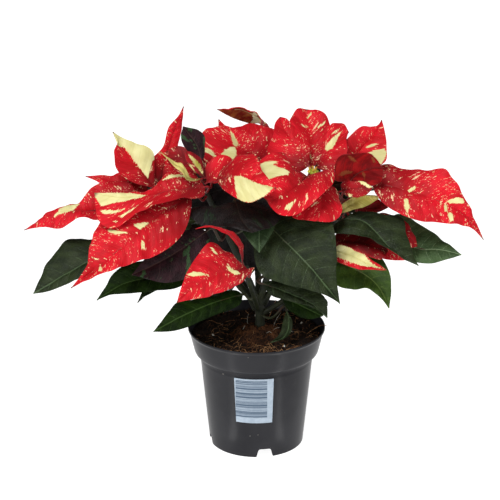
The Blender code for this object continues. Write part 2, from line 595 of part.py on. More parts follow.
def fan_blade(name, centre, bearing, reach, width, rise, drop):
    """A blade by rule: it leaves the centre on a bearing, arches by rise and ends lower by drop."""
    turn = math.radians(bearing)
    out = np.array([math.cos(turn), math.sin(turn), 0.0])
    side = np.array([math.sin(turn), -math.cos(turn), 0.0])
    centre = np.array(centre, dtype=float)
    up = np.array([0.0, 0.0, 1.0])

    def at(fraction, across):
        arch = rise * math.sin(math.pi * min(1.0, fraction * 0.9)) - drop * fraction**2
        return tuple(centre + out * reach * fraction + up * arch + side * across * width / 2)

    rib = (at(0.14, 0.0), at(0.4, 0.0), at(0.7, 0.0), at(1.0, 0.0))
    left = (at(0.3, -0.75), at(0.52, -1.0), at(0.8, -0.42))
    right = (at(0.3, 0.75), at(0.52, 1.0), at(0.8, 0.42))
    return blade(name, None, 0.0, rib, left, right, small=True, phase=bearing)


def pot_outer_radius(height):
    """Radius of the pot's outside at a height below the rim band."""
    return FOOT_RADIUS + (BODY_TOP_RADIUS - FOOT_RADIUS) * height / BODY_TOP_HEIGHT


def spun(name, profile, surface, sides=POT_SIDES, centre=(0.0, 0.0)):
    """A solid turned about a vertical axis from a closed half profile of (radius, height)."""
    shape = bmesh.new()
    corners = [shape.verts.new((radius, 0.0, height)) for radius, height in profile]
    edges = [shape.edges.new((corners[k - 1], corners[k])) for k in range(len(corners))]
    if profile[0][0] == 0.0:
        shape.edges.remove(edges[0])
        edges = edges[1:]
    bmesh.ops.spin(shape, geom=corners + edges, cent=(0, 0, 0), axis=(0, 0, 1),
                   angle=2 * math.pi, steps=sides, use_merge=True, use_normal_flip=False)
    bmesh.ops.remove_doubles(shape, verts=shape.verts, dist=0.001)
    bmesh.ops.recalc_face_normals(shape, faces=shape.faces)
    bmesh.ops.translate(shape, vec=(*centre, 0.0), verts=shape.verts)
    points = [tuple(vert.co) for vert in shape.verts]
    shape.verts.index_update()
    faces = [[vert.index for vert in face.verts] for face in shape.faces]
    shape.free()
    return mesh_object(name, points, faces, surface)


def make_pot(surface):
    wall = POT_WALL
    outer = [(CENTRE_PAD_RADIUS, 0.0), (CENTRE_PAD_RADIUS + 4.0, BASE_LIFT),
             (FOOT_RADIUS - wall - 0.6, BASE_LIFT), (FOOT_RADIUS - wall, 0.0),
             (FOOT_RADIUS, 0.0), (BODY_TOP_RADIUS, BODY_TOP_HEIGHT),
             (BODY_TOP_RADIUS + 1.0, BODY_TOP_HEIGHT + 3.4), (RIM_FOOT_RADIUS - 1.2, RIM_FOOT_HEIGHT - 2.0),
             (RIM_FOOT_RADIUS, RIM_FOOT_HEIGHT), (RIM_RADIUS - 1.3, POT_HEIGHT - 3.2),
             (RIM_RADIUS, POT_HEIGHT - 1.8), (RIM_RADIUS, POT_HEIGHT - 0.3),
             (RIM_RADIUS - 0.3, POT_HEIGHT), (RIM_RADIUS - wall, POT_HEIGHT)]
    inner = [(radius, height) for radius, height in reversed(POT_INSIDE)]
    profile = [(0.0, 0.0), *outer, *inner, (0.0, BASE_PLATE)]
    pot = spun("pot", profile, surface)
    cutters = []
    for k in range(NOTCH_COUNT):
        bearing = math.radians(NOTCH_BEARING + 360.0 * k / NOTCH_COUNT)
        cutters.append(notch_cutter(bearing))
    for k in range(DRAIN_COUNT):
        bearing = 2 * math.pi * (k + 0.5) / DRAIN_COUNT
        centre = (DRAIN_RING_RADIUS * math.cos(bearing), DRAIN_RING_RADIUS * math.sin(bearing))
        hole = [(0.0, BASE_LIFT - 2.0), (DRAIN_RADIUS, BASE_LIFT - 2.0),
                (DRAIN_RADIUS, BASE_LIFT + BASE_PLATE + 2.0), (0.0, BASE_LIFT + BASE_PLATE + 2.0)]
        cutters.append(spun("drain", hole, surface, sides=12, centre=centre))
    return settle(pot, "DIFFERENCE", cutters)


def notch_cutter(bearing):
    """A wedge with flared sides that opens the foot ring, bearing 0 to the front."""
    low, high = -1.0, NOTCH_HEIGHT
    near, far = FOOT_RADIUS - 6.0, FOOT_RADIUS + 3.0
    flare = (NOTCH_FOOT_WIDTH - NOTCH_TOP_WIDTH) / NOTCH_HEIGHT
    foot, top = NOTCH_FOOT_WIDTH / 2 + flare / 2, NOTCH_TOP_WIDTH / 2
    corner = 1.2
    outline = [(-foot, low), (foot, low), (top, high - corner), (top - corner, high),
               (corner - top, high), (-top, high - corner)]
    out = np.array([math.sin(bearing), -math.cos(bearing), 0.0])
    side = np.array([math.cos(bearing), math.sin(bearing), 0.0])
    up = np.array([0.0, 0.0, 1.0])
    points = [out * depth + side * across + up * height
              for depth in (far, near) for across, height in outline]
    count = len(outline)
    faces = [tuple(range(count)), tuple(reversed(range(count, 2 * count)))]
    faces += [(k, k + count, (k + 1) % count + count, (k + 1) % count) for k in range(count)]
    return mesh_object("notch", points, faces, bpy.data.materials["pot_plastic"])


def pot_inside_radius(height):
    """Radius of the pot's inner wall at a height above the base plate."""
    heights = [level for _, level in POT_INSIDE]
    radii = [radius for radius, _ in POT_INSIDE]
    return float(np.interp(height, heights, radii))


def make_soil(surface):
    floor = BASE_LIFT + BASE_PLATE + SEAT_GAP
    clear = SEAT_GAP + 0.15
    levels = [level for _, level in POT_INSIDE if BODY_TOP_HEIGHT <= level < SOIL_TOP - 1]
    wall = [(pot_inside_radius(level) - clear, level) for level in levels]
    brim = pot_inside_radius(SOIL_TOP) - clear - 0.3
    top = [(radius, SOIL_TOP) for radius in (brim, 50.0, 42.0, 34.0, SOIL_FLAT_RADIUS)]
    profile = [(0.0, BASE_PLATE + SEAT_GAP), (CENTRE_PAD_RADIUS - 2.2, BASE_PLATE + SEAT_GAP),
               (CENTRE_PAD_RADIUS + 2.2, floor), (pot_inside_radius(floor) - clear, floor),
               *wall, *top, (0.0, SOIL_TOP)]
    soil = spun("soil", profile, surface)
    for vert in soil.data.vertices:
        x, y, z = (c / METRES_PER_MM for c in vert.co)
        radius = math.hypot(x, y)
        if z > SOIL_TOP - 0.1 and radius > SOIL_FLAT_RADIUS + 1.0:
            bumps = math.sin(0.21 * x + 1.0) * math.cos(0.17 * y) + 0.5 * math.sin(0.37 * y - 0.29 * x)
            vert.co.z = (SOIL_TOP + SOIL_UNEVEN * bumps) * METRES_PER_MM
    hole = [(0.0, SOIL_TOP - STEM_HOLE_DEPTH), (MAIN_STEM_RADIUS + SEAT_GAP, SOIL_TOP - STEM_HOLE_DEPTH),
            (MAIN_STEM_RADIUS + SEAT_GAP, SOIL_TOP + 8.0), (0.0, SOIL_TOP + 8.0)]
    return settle(soil, "DIFFERENCE", [spun("hole", hole, surface, sides=16, centre=(MAIN_STEM_X, 0.0))])


def make_plug(surface):
    seat = SOIL_TOP + SEAT_GAP
    profile = [(0.0, seat), (PLUG_FOOT_RADIUS, seat), (PLUG_FOOT_RADIUS - 1.0, seat + 0.3 * PLUG_HEIGHT),
               (PLUG_FOOT_RADIUS - 4.5, seat + 0.7 * PLUG_HEIGHT), (PLUG_TOP_RADIUS, seat + PLUG_HEIGHT),
               (0.0, seat + PLUG_HEIGHT)]
    plug = spun("fibre_plug", profile, surface, sides=24, centre=PLUG_CENTRE)
    radius = MAIN_STEM_RADIUS + SEAT_GAP
    hole = [(0.0, seat - 2.0), (radius, seat - 2.0), (radius, seat + 12.0), (0.0, seat + 12.0)]
    return settle(plug, "DIFFERENCE", [spun("hole", hole, surface, sides=16, centre=(MAIN_STEM_X, 0.0))])


def make_label(surface):
    columns = 10
    rings = []
    for k in range(columns + 1):
        across = (k / columns - 0.5) * LABEL_WIDTH
        ring = []
        for height, layer in ((LABEL_HIGH, 1), (LABEL_LOW, 1), (LABEL_LOW, 0), (LABEL_HIGH, 0)):
            radius = pot_outer_radius(height) + SEAT_GAP + LABEL_THICKNESS * layer
            bearing = math.radians(LABEL_BEARING) + across / pot_outer_radius((LABEL_LOW + LABEL_HIGH) / 2)
            ring.append((radius * math.sin(bearing), -radius * math.cos(bearing), height))
        rings.append(ring)
    points, faces = ring_solid(np.array(rings))
    return mesh_object("label", points, faces, surface)


def make_stems(surface):
    stems = None
    shoots = []
    for name, (points, foot, top) in SHOOTS.items():
        made = tube("stems" if name == "main" else name, points, foot, top, surface,
                    MAIN_STEM_SIDES if name == "main" else SHOOT_SIDES)
        if name == "main":
            stems = made
        else:
            shoots.append(made)
    return settle(stems, "UNION", shoots)


def make_cyathia(name, seat, surface):
    """A cluster of small cups with their glands, on a short disc, fused."""
    x, y, z = seat
    disc = [(0.0, z), (2.6, z), (3.3, z + 1.6), (1.8, z + 3.0), (0.0, z + 3.0)]
    cluster = spun(name, disc, surface, sides=8, centre=(x, y))
    cups = []
    for k in range(5):
        turn = 2 * math.pi * k / 5 + 0.4
        reach = 2.5 if k else 0.0
        foot, rim = z + 1.4, z + 5.6 + 0.8 * (k % 2)
        cup = [(0.0, foot), (1.2, foot + 0.4), (1.7, foot + 2.2), (1.1, rim), (0.0, rim)]
        cups.append(spun("cup", cup, surface, sides=6,
                         centre=(x + reach * math.cos(turn), y + reach * math.sin(turn))))
    return settle(cluster, "UNION", cups)


def make_rear_head(name, seat, bearings, surface):
    """A whole head of bracts of the far side, fused round its short collar."""
    x, y, z = seat
    top = z + HEAD_LOWEST + 1.0 + HEAD_PITCH * len(bearings)
    collar = [(0.0, z), (2.2, z), (2.9, z + 3.0), (2.4, top), (0.0, top)]
    head = spun(name, collar, surface, sides=10, centre=(x, y))
    blades = []
    for k, (bearing, reach, width, drop) in enumerate(bearings):
        centre = np.array((x, y, z + HEAD_LOWEST + HEAD_PITCH * k))
        form = fan_blade("bract", centre, bearing, reach, width, BRACT_ARCH, drop)
        lead = unit(np.array(form["rib"][0]) - centre)
        solid, faces = blade_solid(form, (centre + HEAD_CORE * lead, lead))
        blades.append(mesh_object("bract", solid, faces, surface))
    return settle(head, "UNION", blades)


def make_rear_shoot(name, points, leaves, surface):
    """A leafy stem of the far side with its leaves fused to it."""
    shoot = tube(name, points, REAR_FOOT_RADIUS, REAR_TOP_RADIUS, surface)
    blades = []
    for height, bearing, reach, width, drop in leaves:
        centre = along(points, (height,))[0]
        form = fan_blade("leaf", centre, bearing, reach, width, LEAF_ARCH, drop)
        root = np.array(form["rib"][0])
        solid, faces = blade_solid(form, (centre, unit(root - centre)))
        blades.append(mesh_object("leaf", solid, faces, surface))
    return settle(shoot, "UNION", blades)


def make_blade(form, surface):
    solid, faces = blade_solid(form, shoot_start(form))
    return mesh_object(form["name"], solid, faces, surface)


def build():
    clear_scene()
    pot_plastic = material("pot_plastic", (0.055, 0.056, 0.062), 0.42)
    label_paper = material("label_paper", (0.40, 0.48, 0.60), 0.5)
    compost = material("compost", (0.045, 0.022, 0.014), 0.95)
    coir = material("coir_fibre", (0.11, 0.045, 0.022), 0.95)
    stem_bark = material("stem_bark", (0.035, 0.045, 0.022), 0.6)
    leaf_green = material("leaf_green", (0.030, 0.075, 0.032), 0.45)
    leaf_purple = material("leaf_purple", (0.050, 0.016, 0.026), 0.5)
    bract_red = material("bract_red", (0.72, 0.012, 0.028), 0.55)
    bract_gold = material("bract_gold", (0.55, 0.50, 0.14), 0.55)
    cyathium_yellow = material("cyathium_yellow", (0.42, 0.45, 0.06), 0.5)
    make_pot(pot_plastic)
    make_label(label_paper)
    make_soil(compost)
    make_plug(coir)
    make_stems(stem_bark)
    for form in BLADES:
        surface = leaf_green if form["name"].startswith("leaf") else bract_red
        if form["name"] in PURPLE_LEAVES:
            surface = leaf_purple
        if form["name"] in GOLD_BRACTS:
            surface = bract_gold
        make_blade(form, surface)
    for name in CYATHIA_SHOOTS:
        make_cyathia("cyathia_" + name, crown(*SHOOTS[name]), cyathium_yellow)
    for name, points in REAR_SHOOTS.items():
        make_rear_shoot("shoot_" + name, points, REAR_LEAVES[name], leaf_green)
        seat = crown(points, REAR_FOOT_RADIUS, REAR_TOP_RADIUS)
        make_rear_head("bracts_" + name, seat, REAR_BRACTS[name], bract_red)


build()
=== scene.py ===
"""Looks of a poinsettia in a nursery pot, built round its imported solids.

Leaves, bracts, stems, flower cups, compost, coir and pot are remade finer in the places of their solids.
The label keeps its solid and gets its finish.
"""
import math

import bpy
import numpy as np
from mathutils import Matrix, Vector, noise


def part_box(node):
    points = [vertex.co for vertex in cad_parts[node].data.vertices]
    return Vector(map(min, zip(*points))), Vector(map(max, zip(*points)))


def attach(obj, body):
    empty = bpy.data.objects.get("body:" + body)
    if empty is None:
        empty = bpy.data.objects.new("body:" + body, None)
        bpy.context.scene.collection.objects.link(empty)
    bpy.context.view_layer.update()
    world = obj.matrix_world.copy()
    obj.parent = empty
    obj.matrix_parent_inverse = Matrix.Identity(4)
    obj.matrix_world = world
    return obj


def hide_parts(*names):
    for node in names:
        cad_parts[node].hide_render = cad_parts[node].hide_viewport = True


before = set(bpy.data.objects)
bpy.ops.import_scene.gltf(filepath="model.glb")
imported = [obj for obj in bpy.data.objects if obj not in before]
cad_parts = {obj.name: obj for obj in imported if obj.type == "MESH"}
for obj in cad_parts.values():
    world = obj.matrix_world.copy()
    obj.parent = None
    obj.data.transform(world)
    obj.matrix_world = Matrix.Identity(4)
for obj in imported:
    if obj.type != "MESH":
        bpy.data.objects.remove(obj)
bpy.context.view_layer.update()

# Lengths are in millimetres until a mesh takes its place
METRES_PER_MM = 0.001

# How fine a blade is made, and the fewest and most rows and half columns it gets
FACE_SIZE = 1.45
ROWS = (26, 84)
HALF_COLUMNS = (7, 20)
# Narrowest half of a blade at its neck, at its tip and between, and where neck and tip end
NECK_HALF_WIDTH = 1.1
TIP_HALF_WIDTH = 0.45
LEAST_HALF_WIDTH = 0.3
NECK_END = 0.05
TIP_START = 0.97
# Part of a blade whose direction is read from its edges; the rest follows on
STEADY_PART = (0.08, 0.9)
# How steeply half a blade may fold, and how far it may slant along the rib, against its width
FOLD_LIMIT = 1.1
FOLD_SLACK = 0.8
# How much each half is cupped, against its width
BLADE_CUP = 0.1
# Creases of a blade: waves along and across in radians per mm, turn by the blade's number, height
CREASE_WAVES = ((0.21, 0.13, 7, 1.0), (-0.11, 0.16, 13, 1.0), (0.29, 0.37, 29, 0.6))
# Farthest distance to the edge of a cream patch that is written down
PATCH_REACH = 6.0
# Half width of the groove along the rib, and the angle up to which faces look smooth, in degrees
GROOVE_HALF_WIDTH = 1.3
BLADE_SMOOTH_ANGLE = 60
# How deep in the bark a stalk starts, and how many rings it has before its blade
BARK_DEPTH = 0.4
STALK_RINGS = 9
# Where along the blade the stalk, run on as its midrib, gets a ring
MIDRIB_RINGS = (0.02, 0.1, 0.2, 0.32, 0.45, 0.58, 0.7, 0.8, 0.88)
# How far a stalk heads straight out of its shoot and straight in to its blade, against its span
STALK_LEAD = 0.33
STALK_ARRIVAL = 0.22
# Side veins: how much they slant forward, and how much more they do so towards the edge
VEIN_SLANT = 0.55
VEIN_BEND = 0.25

# Usual build of a leaf and of a bract; small ones have less quilting and thinner stalks
LEAF_BUILD = {"vein_pitch": 10.5, "quilt": 0.55, "groove": 0.5, "ruffle": 0.7, "ruffle_pitch": 21.0,
              "crease": 0.3, "thickness": 0.62, "stalk": 1.3, "rib": 0.75}
BRACT_BUILD = {"vein_pitch": 8.5, "quilt": 0.65, "groove": 0.35, "ruffle": 0.75, "ruffle_pitch": 17.0,
               "crease": 0.42, "thickness": 0.5, "stalk": 0.95, "rib": 0.52}
SMALL_QUILT = 0.6
SMALL_STALK = 0.8

# A shoot: how many rings it is drawn with, and how far apart, wide and swollen its leaf scars are
SHOOT_RINGS = 46
SCAR_PITCH = 15.0
SCAR_WIDTH = 1.6
SCAR_SWELL = 0.13
# Far side: its shoots, the arch of its blades, and how its bracts stand above each other on a collar
REAR_FOOT_RADIUS = 2.6
REAR_TOP_RADIUS = 2.0
LEAF_ARCH = 9.0
BRACT_ARCH = 7.0
HEAD_PITCH = 1.7
HEAD_LOWEST = 2.0
HEAD_CORE = 0.7
COLLAR_LIFT = 1.6
# A blade by rule: shares of its reach along the rib, and (share, half width) along an edge
FAN_RIB = (0.14, 0.4, 0.7, 1.0)
FAN_EDGE = ((0.3, 0.75), (0.52, 1.0), (0.8, 0.42))

# The pot from the middle of its foot round to the middle of its floor, as (radius, height)
POT_PROFILE = (
    (13.0, 0.0), (15.4, 4.4), (16.2, 5.9), (17.6, 6.8), (19.0, 7.0), (38.6, 7.0), (39.4, 6.6), (39.7, 5.9),
    (40.1, 0.3), (40.3, 0.0), (41.0, 0.0), (41.3, 0.3), (43.4, 21.0), (45.4, 41.0), (47.4, 61.0),
    (48.7, 74.5), (49.15, 78.2), (49.4, 79.6), (50.2, 82.2), (51.1, 83.8), (52.9, 85.1), (54.0, 86.1),
    (54.5, 87.2), (55.3, 90.5), (56.9, 97.0), (58.4, 103.6), (58.75, 104.9), (59.5, 105.9), (60.0, 106.5),
    (60.0, 107.5), (59.85, 107.85), (59.5, 108.0), (59.1, 107.95), (58.8, 107.6), (58.4, 106.0),
    (57.0, 100.2), (53.4, 88.6), (51.0, 85.4), (49.3, 82.9), (48.1, 79.0), (46.5, 63.0), (43.8, 36.0),
    (41.2, 10.4), (40.5, 8.9), (39.6, 8.6), (17.8, 8.6), (16.2, 8.3), (15.0, 7.3), (12.4, 2.3), (11.4, 1.6),
)
POT_SIDES = 144
NOTCHES = 4
NOTCH_TURN = 10.0
NOTCH_HEIGHT = 8.0
NOTCH_TOP_HALF = 5.25
NOTCH_FOOT_HALF = 7.6
NOTCH_INSIDE = 35.3
NOTCH_OUTSIDE = 44.3
NOTCH_ROUND = 1.6
DRAIN_HOLES = 8
DRAIN_RADIUS = 3.6
DRAIN_RING = 27.0
DRAIN_MIDDLE = 7.8
DRAIN_DEPTH = 8.0
POT_SMOOTH_ANGLE = 32
# The step below the rim band: heights, in metres, between which it comes in, and its loss of gloss
STEP_FROM_BELOW = (0.0775, 0.0795)
STEP_FROM_ABOVE = (0.0865, 0.0845)
STEP_LOSS = 0.07
POT_GLOSS = 0.11
# Specks of soil on the pot, as (place, size) in metres
POT_SPECKS = (
    ((-0.0290, -0.0400, 0.0794), 0.0008), ((-0.0074, -0.0582, 0.1026), 0.0008),
    ((-0.0057, -0.0431, 0.0216), 0.0006), ((0.0013, -0.0435, 0.0228), 0.0006),
    ((0.0240, -0.0380, 0.0420), 0.0007), ((-0.0310, -0.0310, 0.0560), 0.0008),
    ((0.0330, -0.0470, 0.0960), 0.0009),
)
# Bars of the label: spacing and shift up the label in mm, share of the spacing, strength
LABEL_BARS = ((8.7, 1.2, 0.42, 0.35), (2.1, 0.7, 0.36, 0.4), (4.6, 0.2, 0.15, 0.85), (7.9, 2.9, 0.1, 0.95),
              (11.3, 4.4, 0.08, 0.95))
# Printed field of the label: lowest and highest in mm, left and right in metres
FIELD_HEIGHT = (40.0, 76.8)
FIELD_SIDES = (-0.0182, 0.0092)

# The compost and the fibre plug on it: cells of the grid, radius, height
SOIL_CELLS = 130
SOIL_RADIUS = 55.9
SOIL_TOP = 99.9
PLUG_CELLS = 76
PLUG_RADIUS = 22.4
PLUG_Y = -5.0
PLUG_TOP = 100.2
PLUG_RISE = 7.6
# Where the slope of the plug would come to nothing, and how far out the plug counts as ground
PLUG_SPREAD = 23.0
PLUG_LIMIT = 22.5
# How the rims of both are drawn down and in, as (scale, rise)
SOIL_SIDE = ((0.945, -12.0), (0.92, -5.0), (0.985, -4.0), (0.83, -69.5))
PLUG_SIDE = ((1.0, -0.8),)
# The slow unevenness of the compost starts past the first radius, and all of it fades at the second
EVEN_RADIUS = 26.0
EDGE_RADIUS = 55.8
# Crumbs in the surface of the compost, as (reach, height)
SURFACE_CRUMBS = ((5.2, 1.1), (2.7, 0.8), (1.5, 0.5))
# Loose stuff: how far out it lies, how much of it there is, points of a thread
LOOSE_REACH = 55.0
PLUG_LOOSE_REACH = 21.0
THREAD_REACH = 56.0
THREAD_POINTS = 6
GROUND_SEED = 41
CRUMBS = 330
PLUG_THREADS = 300
SOIL_THREADS = 120
FRONT_THREADS = 60
# Threads towards the front: middle and spread sideways, least and most forward, farthest out
FRONT_SIDEWAYS = (2.0, 17.0)
FRONT_FORWARD = (33.0, 54.0)
FRONT_REACH = 54.5
# Kinds of threads: shortest and longest, least radius and how much it varies, lift off the ground
PLUG_THREAD = ((5, 15), (0.16, 0.16), 1.6)
SOIL_THREAD = ((5, 16), (0.14, 0.12), 1.2)
FRONT_THREAD = ((6, 18), (0.16, 0.14), 2.4)
# Pale grains on the compost, as (x, y, size)
GRAINS = ((-0.4, 36.0, 1.3), (6.8, 36.0, 1.1), (31.0, 1.0, 1.5), (24.0, -30.0, 1.0), (-38.0, -6.0, 1.2),
          (-30.0, 22.0, 1.2), (40.0, 22.0, 1.3), (12.0, 46.0, 1.1), (-14.0, -41.0, 0.9))

# One flower cup with its lip and stamens, and how many cups a cluster has
CUP_RADIUS = 1.75
CUP_HALF_HEIGHT = 2.5
MOUTH_HEIGHT = 1.7
LIP_RADIUS = 0.95
LIP_THICKNESS = 0.42
LIP_TILT = 58
STAMENS = 6
CUPS = 7
# How the mouth of a cup is drawn in and down, as (inset, rise), and how its sides are ribbed
MOUTH_STEPS = ((0.25, 0.25), (0.2, -1.1))
CUP_RIBS = 5
RIB_SWELL = 0.07
LIP_STRETCH = (1.25, 0.7, 1.0)
LIP_HEIGHT = 0.6
# How the middle cup and those round it stand, as (reach, tilt, lift); every second is higher and smaller
MIDDLE_CUP = (0.0, 0.0, 5.0)
RING_CUP = (2.8, 0.22, 3.6)
CUP_STAGGER = 0.6
SMALL_CUP = 0.86
# Seat of a cluster on its shoot, as (rise, radius)
SEAT_RINGS = ((0.0, 2.1), (2.2, 3.0), (3.4, 2.0))

# Pale flecks of a bract: cell along and across the side veins, size, share of cells, shift
FLECK_SIZES = ((8.0, 2.2, 0.4, 0.17, 0.0), (3.0, 1.25, 0.4, 0.28, 31.7), (1.3, 0.85, 0.36, 0.4, 77.3))
# How thick the flecks stand, as a rule and on the bracts that differ
USUAL_FLECKS = 0.55
FLECKS = {
    "bract_left_spire": 0.75, "bract_rear_broad": 0.6, "bract_centre_left": 0.5, "bract_centre_right": 0.5,
    "bract_mid_young_red": 0.25, "bract_mid_right": 0.2, "bract_front_edge": 0.1,
}
# Height of the fine grain on the upper faces, in metres
BLADE_GRAIN = 0.00022

# Upper faces of leaves by look: name, deep tone, lit tone, veins, blotches, gloss
LEAF_TONES = {
    "leaf": ("leaf_upper", (22, 31, 12), (38, 48, 23), (96, 118, 82), None, 0.17),
    "leaf_broad": ("leaf_upper_mid", (40, 56, 32), (56, 74, 46), (96, 118, 82), None, 0.17),
    # A lighter green copy: painted light for a leaf that sits in shade
    "leaf_light": ("leaf_upper_light", (50, 71, 40), (71, 94, 57), (150, 176, 132), None, 0.17),
    # A darker green copy: painted shade for the low leaves under the canopy
    "leaf_shade": ("leaf_upper_shade", (12, 26, 4), (25, 43, 8), (72, 96, 50), None, 0.06),
    "leaf_fresh": ("leaf_upper_fresh", (40, 62, 18), (62, 86, 28), (120, 140, 76), None, 0.17),
    "leaf_dusk": ("leaf_upper_dusk", (28, 14, 18), (50, 25, 32), (88, 66, 60), (52, 80, 48), 0.17),
    # Near black: painted deep shade for leaves deep inside the plant
    "leaf_gloom": ("leaf_upper_gloom", (14, 12, 12), (28, 22, 22), (52, 46, 40), (24, 34, 22), 0.17),
}
# Upper faces of bracts by look: name, deep tone, lit tone, patches, flecks, crowding of the flecks
CREAM_TONE = (228, 222, 162)
BRACT_TONES = {
    "bract": ("bract_upper", (179, 6, 20), (217, 17, 36), CREAM_TONE, (244, 176, 150), 1.0),
    # A darker copy of the bract red: painted shade for bracts that sit in the shade of others
    "bract_deep": ("bract_upper_deep", (112, 4, 10), (160, 8, 20), CREAM_TONE, (244, 176, 150), 0.6),
    "bract_gold": ("bract_upper_gold", (150, 138, 60), (206, 194, 112), CREAM_TONE, (206, 80, 54), 0.5),
    "bract_young": ("bract_upper_young", (104, 6, 12), (156, 12, 24), (158, 150, 62), (244, 176, 150), 0.6),
}
# Under faces: name, deep tone, lit tone, veins, patches, how ragged the patches are
# These under tones are kept dark: painted shade on the faces turned down, over their own duller colour
UNDER_TONES = {
    "leaf": ("leaf_under", (34, 50, 30), (56, 74, 46), (90, 104, 72), None, 5.0),
    "bract": ("bract_under", (124, 4, 12), (168, 12, 22), (112, 20, 18), (216, 206, 138), 5.0),
    "bronze": ("bract_under_bronze", (124, 24, 16), (160, 86, 38), (140, 26, 18), (255, 253, 212), 5.0),
    "ochre": ("bract_under_ochre", (112, 6, 10), (158, 14, 18), (96, 12, 14), (138, 66, 36), 1.8),
}
# Smooth young growth: name, deep tone, lit tone
STALK_TONES = {
    "leaf_stalk": ("leaf_stalk", (44, 50, 26), (68, 36, 26)),
    "bract_stalk": ("bract_stalk", (136, 12, 20), (104, 30, 22)),
    "pale_stalk": ("bract_stalk_pale", (232, 220, 160), (206, 170, 112)),
    "cup": ("cup_green", (118, 136, 42), (172, 180, 62)),
    "gland": ("gland_yellow", (226, 196, 44), (240, 214, 70)),
    "stamen": ("stamen_tips", (190, 40, 40), (224, 180, 70)),
}
# Loose stuff: name, deep tone, lit tone, fineness of its grain, height of the grain in metres
EARTH_TONES = {
    "compost": ("compost_fine", (20, 13, 9), (42, 27, 18), 900.0, 0.0012),
    "crumb": ("compost_crumb", (26, 17, 12), (56, 36, 23), 1300.0, 0.0006),
    "grain": ("pale_grain", (206, 200, 188), (238, 236, 228), 1500.0, 0.0004),
    "coir": ("coir_body", (27, 17, 12), (50, 31, 20), 800.0, 0.0012),
    "thread": ("coir_thread", (58, 36, 23), (112, 72, 44), 500.0, 0.0002),
    "straw": ("straw_thread", (92, 60, 38), (182, 138, 96), 400.0, 0.0002),
    "root": ("white_rootlet", (170, 164, 150), (214, 210, 198), 700.0, 0.0001),
}

# The photograph's view: metres, and degrees down
VIEW_TARGET = (-0.0057, 0.0, 0.1788)
VIEW_DISTANCE = 2.0
VIEW_TILT = 21.3
VIEW_LENS = 166.6

# The studio, in metres: how much floor and air glow
FLOOR_SIZE = 16.0
FLOOR_GLOW = 0.96
AIR_GLOW = 0.09
# Suns: name, direction, spread in degrees, strength
SUNS = (("key_sun", (0.4, 0.75, -1.25), 28.0, 2.35), ("fill_sun", (-0.8, 0.7, -0.9), 60.0, 0.45))
# Lamps that look at a point low on the pot: name, place, size, watts
LAMP_TARGET = (0.0, 0.0, 0.05)
LAMPS = (("left_box", (-0.85, -1.0, 0.45), (0.16, 0.7), 4.2),
         ("right_box", (1.05, -0.85, 0.5), (0.12, 0.7), 3.0))
# Strip of light on the floor at the right, mirrored at the left: place, heading, size, watts
STRIP_PLACE = (0.106, -0.112, 0.0015)
STRIP_HEADING = (0.72, -0.69)
STRIP_SIZE = (0.19, 0.016)
STRIP_WATTS = 0.032

# Centre line of each shoot, foot to top, with the radius at its foot and at its top
SHOOTS = {
    "main": (((3, 0, 87), (3, 0, 100), (3, 0, 114), (2, 0, 138)), 4.8, 3.4),
    "left": (((2, 0, 126), (-19, 5, 148), (-52, 10, 186), (-78, 13, 212), (-83, 14, 221)), 3.0, 1.9),
    "mid": (((2, 0, 130), (-6, -3, 150), (-25, -9, 196), (-43, -13, 236), (-50, -15, 254)), 3.0, 2.1),
    "centre": (((3, 0, 133), (14, -3, 168), (34, -8, 212), (46, -10, 238), (48, -10, 249)), 3.0, 2.1),
    "right": (((3, 0, 128), (26, 5, 155), (60, 9, 192), (79, 9, 220), (82, 8, 230)), 3.0, 2.0),
    "rear": (((2, 0, 134), (1, 14, 160), (0, 36, 205), (1, 47, 235), (1, 48, 244)), 2.8, 2.0),
    "low_right": (((3, 0, 118), (28, 2, 134), (60, 4, 160), (75, 5, 178), (77, 5, 183)), 2.4, 1.7),
    "low_front": (((2, 0, 121), (-2, -14, 140), (-6, -36, 162), (-8, -47, 178), (-8, -50, 183)), 2.2, 1.6),
}

REAR_SHOOTS = {
    "rear_left": ((-0.9, 5.0, 121), (-20, 24, 156), (-48, 50, 200), (-60, 62, 219)),
    "rear_right": ((5.3, 5.1, 123), (24, 28, 158), (46, 54, 204), (54, 66, 222)),
}

# Shoots that end in a cluster of flower cups in the middle of an open head
CYATHIA_SHOOTS = ("mid", "centre", "right", "rear")

# Far side: each leaf by height on its shoot, bearing, reach, width and drop
REAR_LEAVES = {
    "rear_left": ((0.86, 150, 78, 50, 16), (0.78, 96, 84, 54, 22), (0.66, 178, 92, 56, 34),
                  (0.56, 122, 96, 58, 40), (0.44, 74, 62, 42, 30)),
    "rear_right": ((0.86, 32, 76, 50, 16), (0.78, 84, 82, 54, 22), (0.66, 4, 84, 54, 32),
                   (0.56, 58, 96, 58, 40), (0.78, -10, 62, 46, 14)),
}
# Far side: each bract by bearing, reach, width and drop
REAR_BRACTS = {
    "rear_left": ((168, 74, 40, 8), (128, 78, 42, 14), (92, 74, 40, 16), (52, 50, 30, 8), (205, 48, 28, 6)),
    "rear_right": ((16, 70, 38, 8), (54, 78, 42, 14), (90, 76, 40, 16), (128, 52, 30, 8), (-22, 56, 30, 14),
                   (180, 52, 30, 6)),
}


def blade(name, shoot, height, rib, left, right, small=False, wave=0.05, waves=2.3, phase=0.0):
    """Control points of one blade: rib from root to tip, and the outline on each side of it."""
    return {"name": name, "shoot": shoot, "height": height, "rib": rib, "left": left, "right": right,
            "small": small, "wave": wave, "waves": waves, "phase": phase}


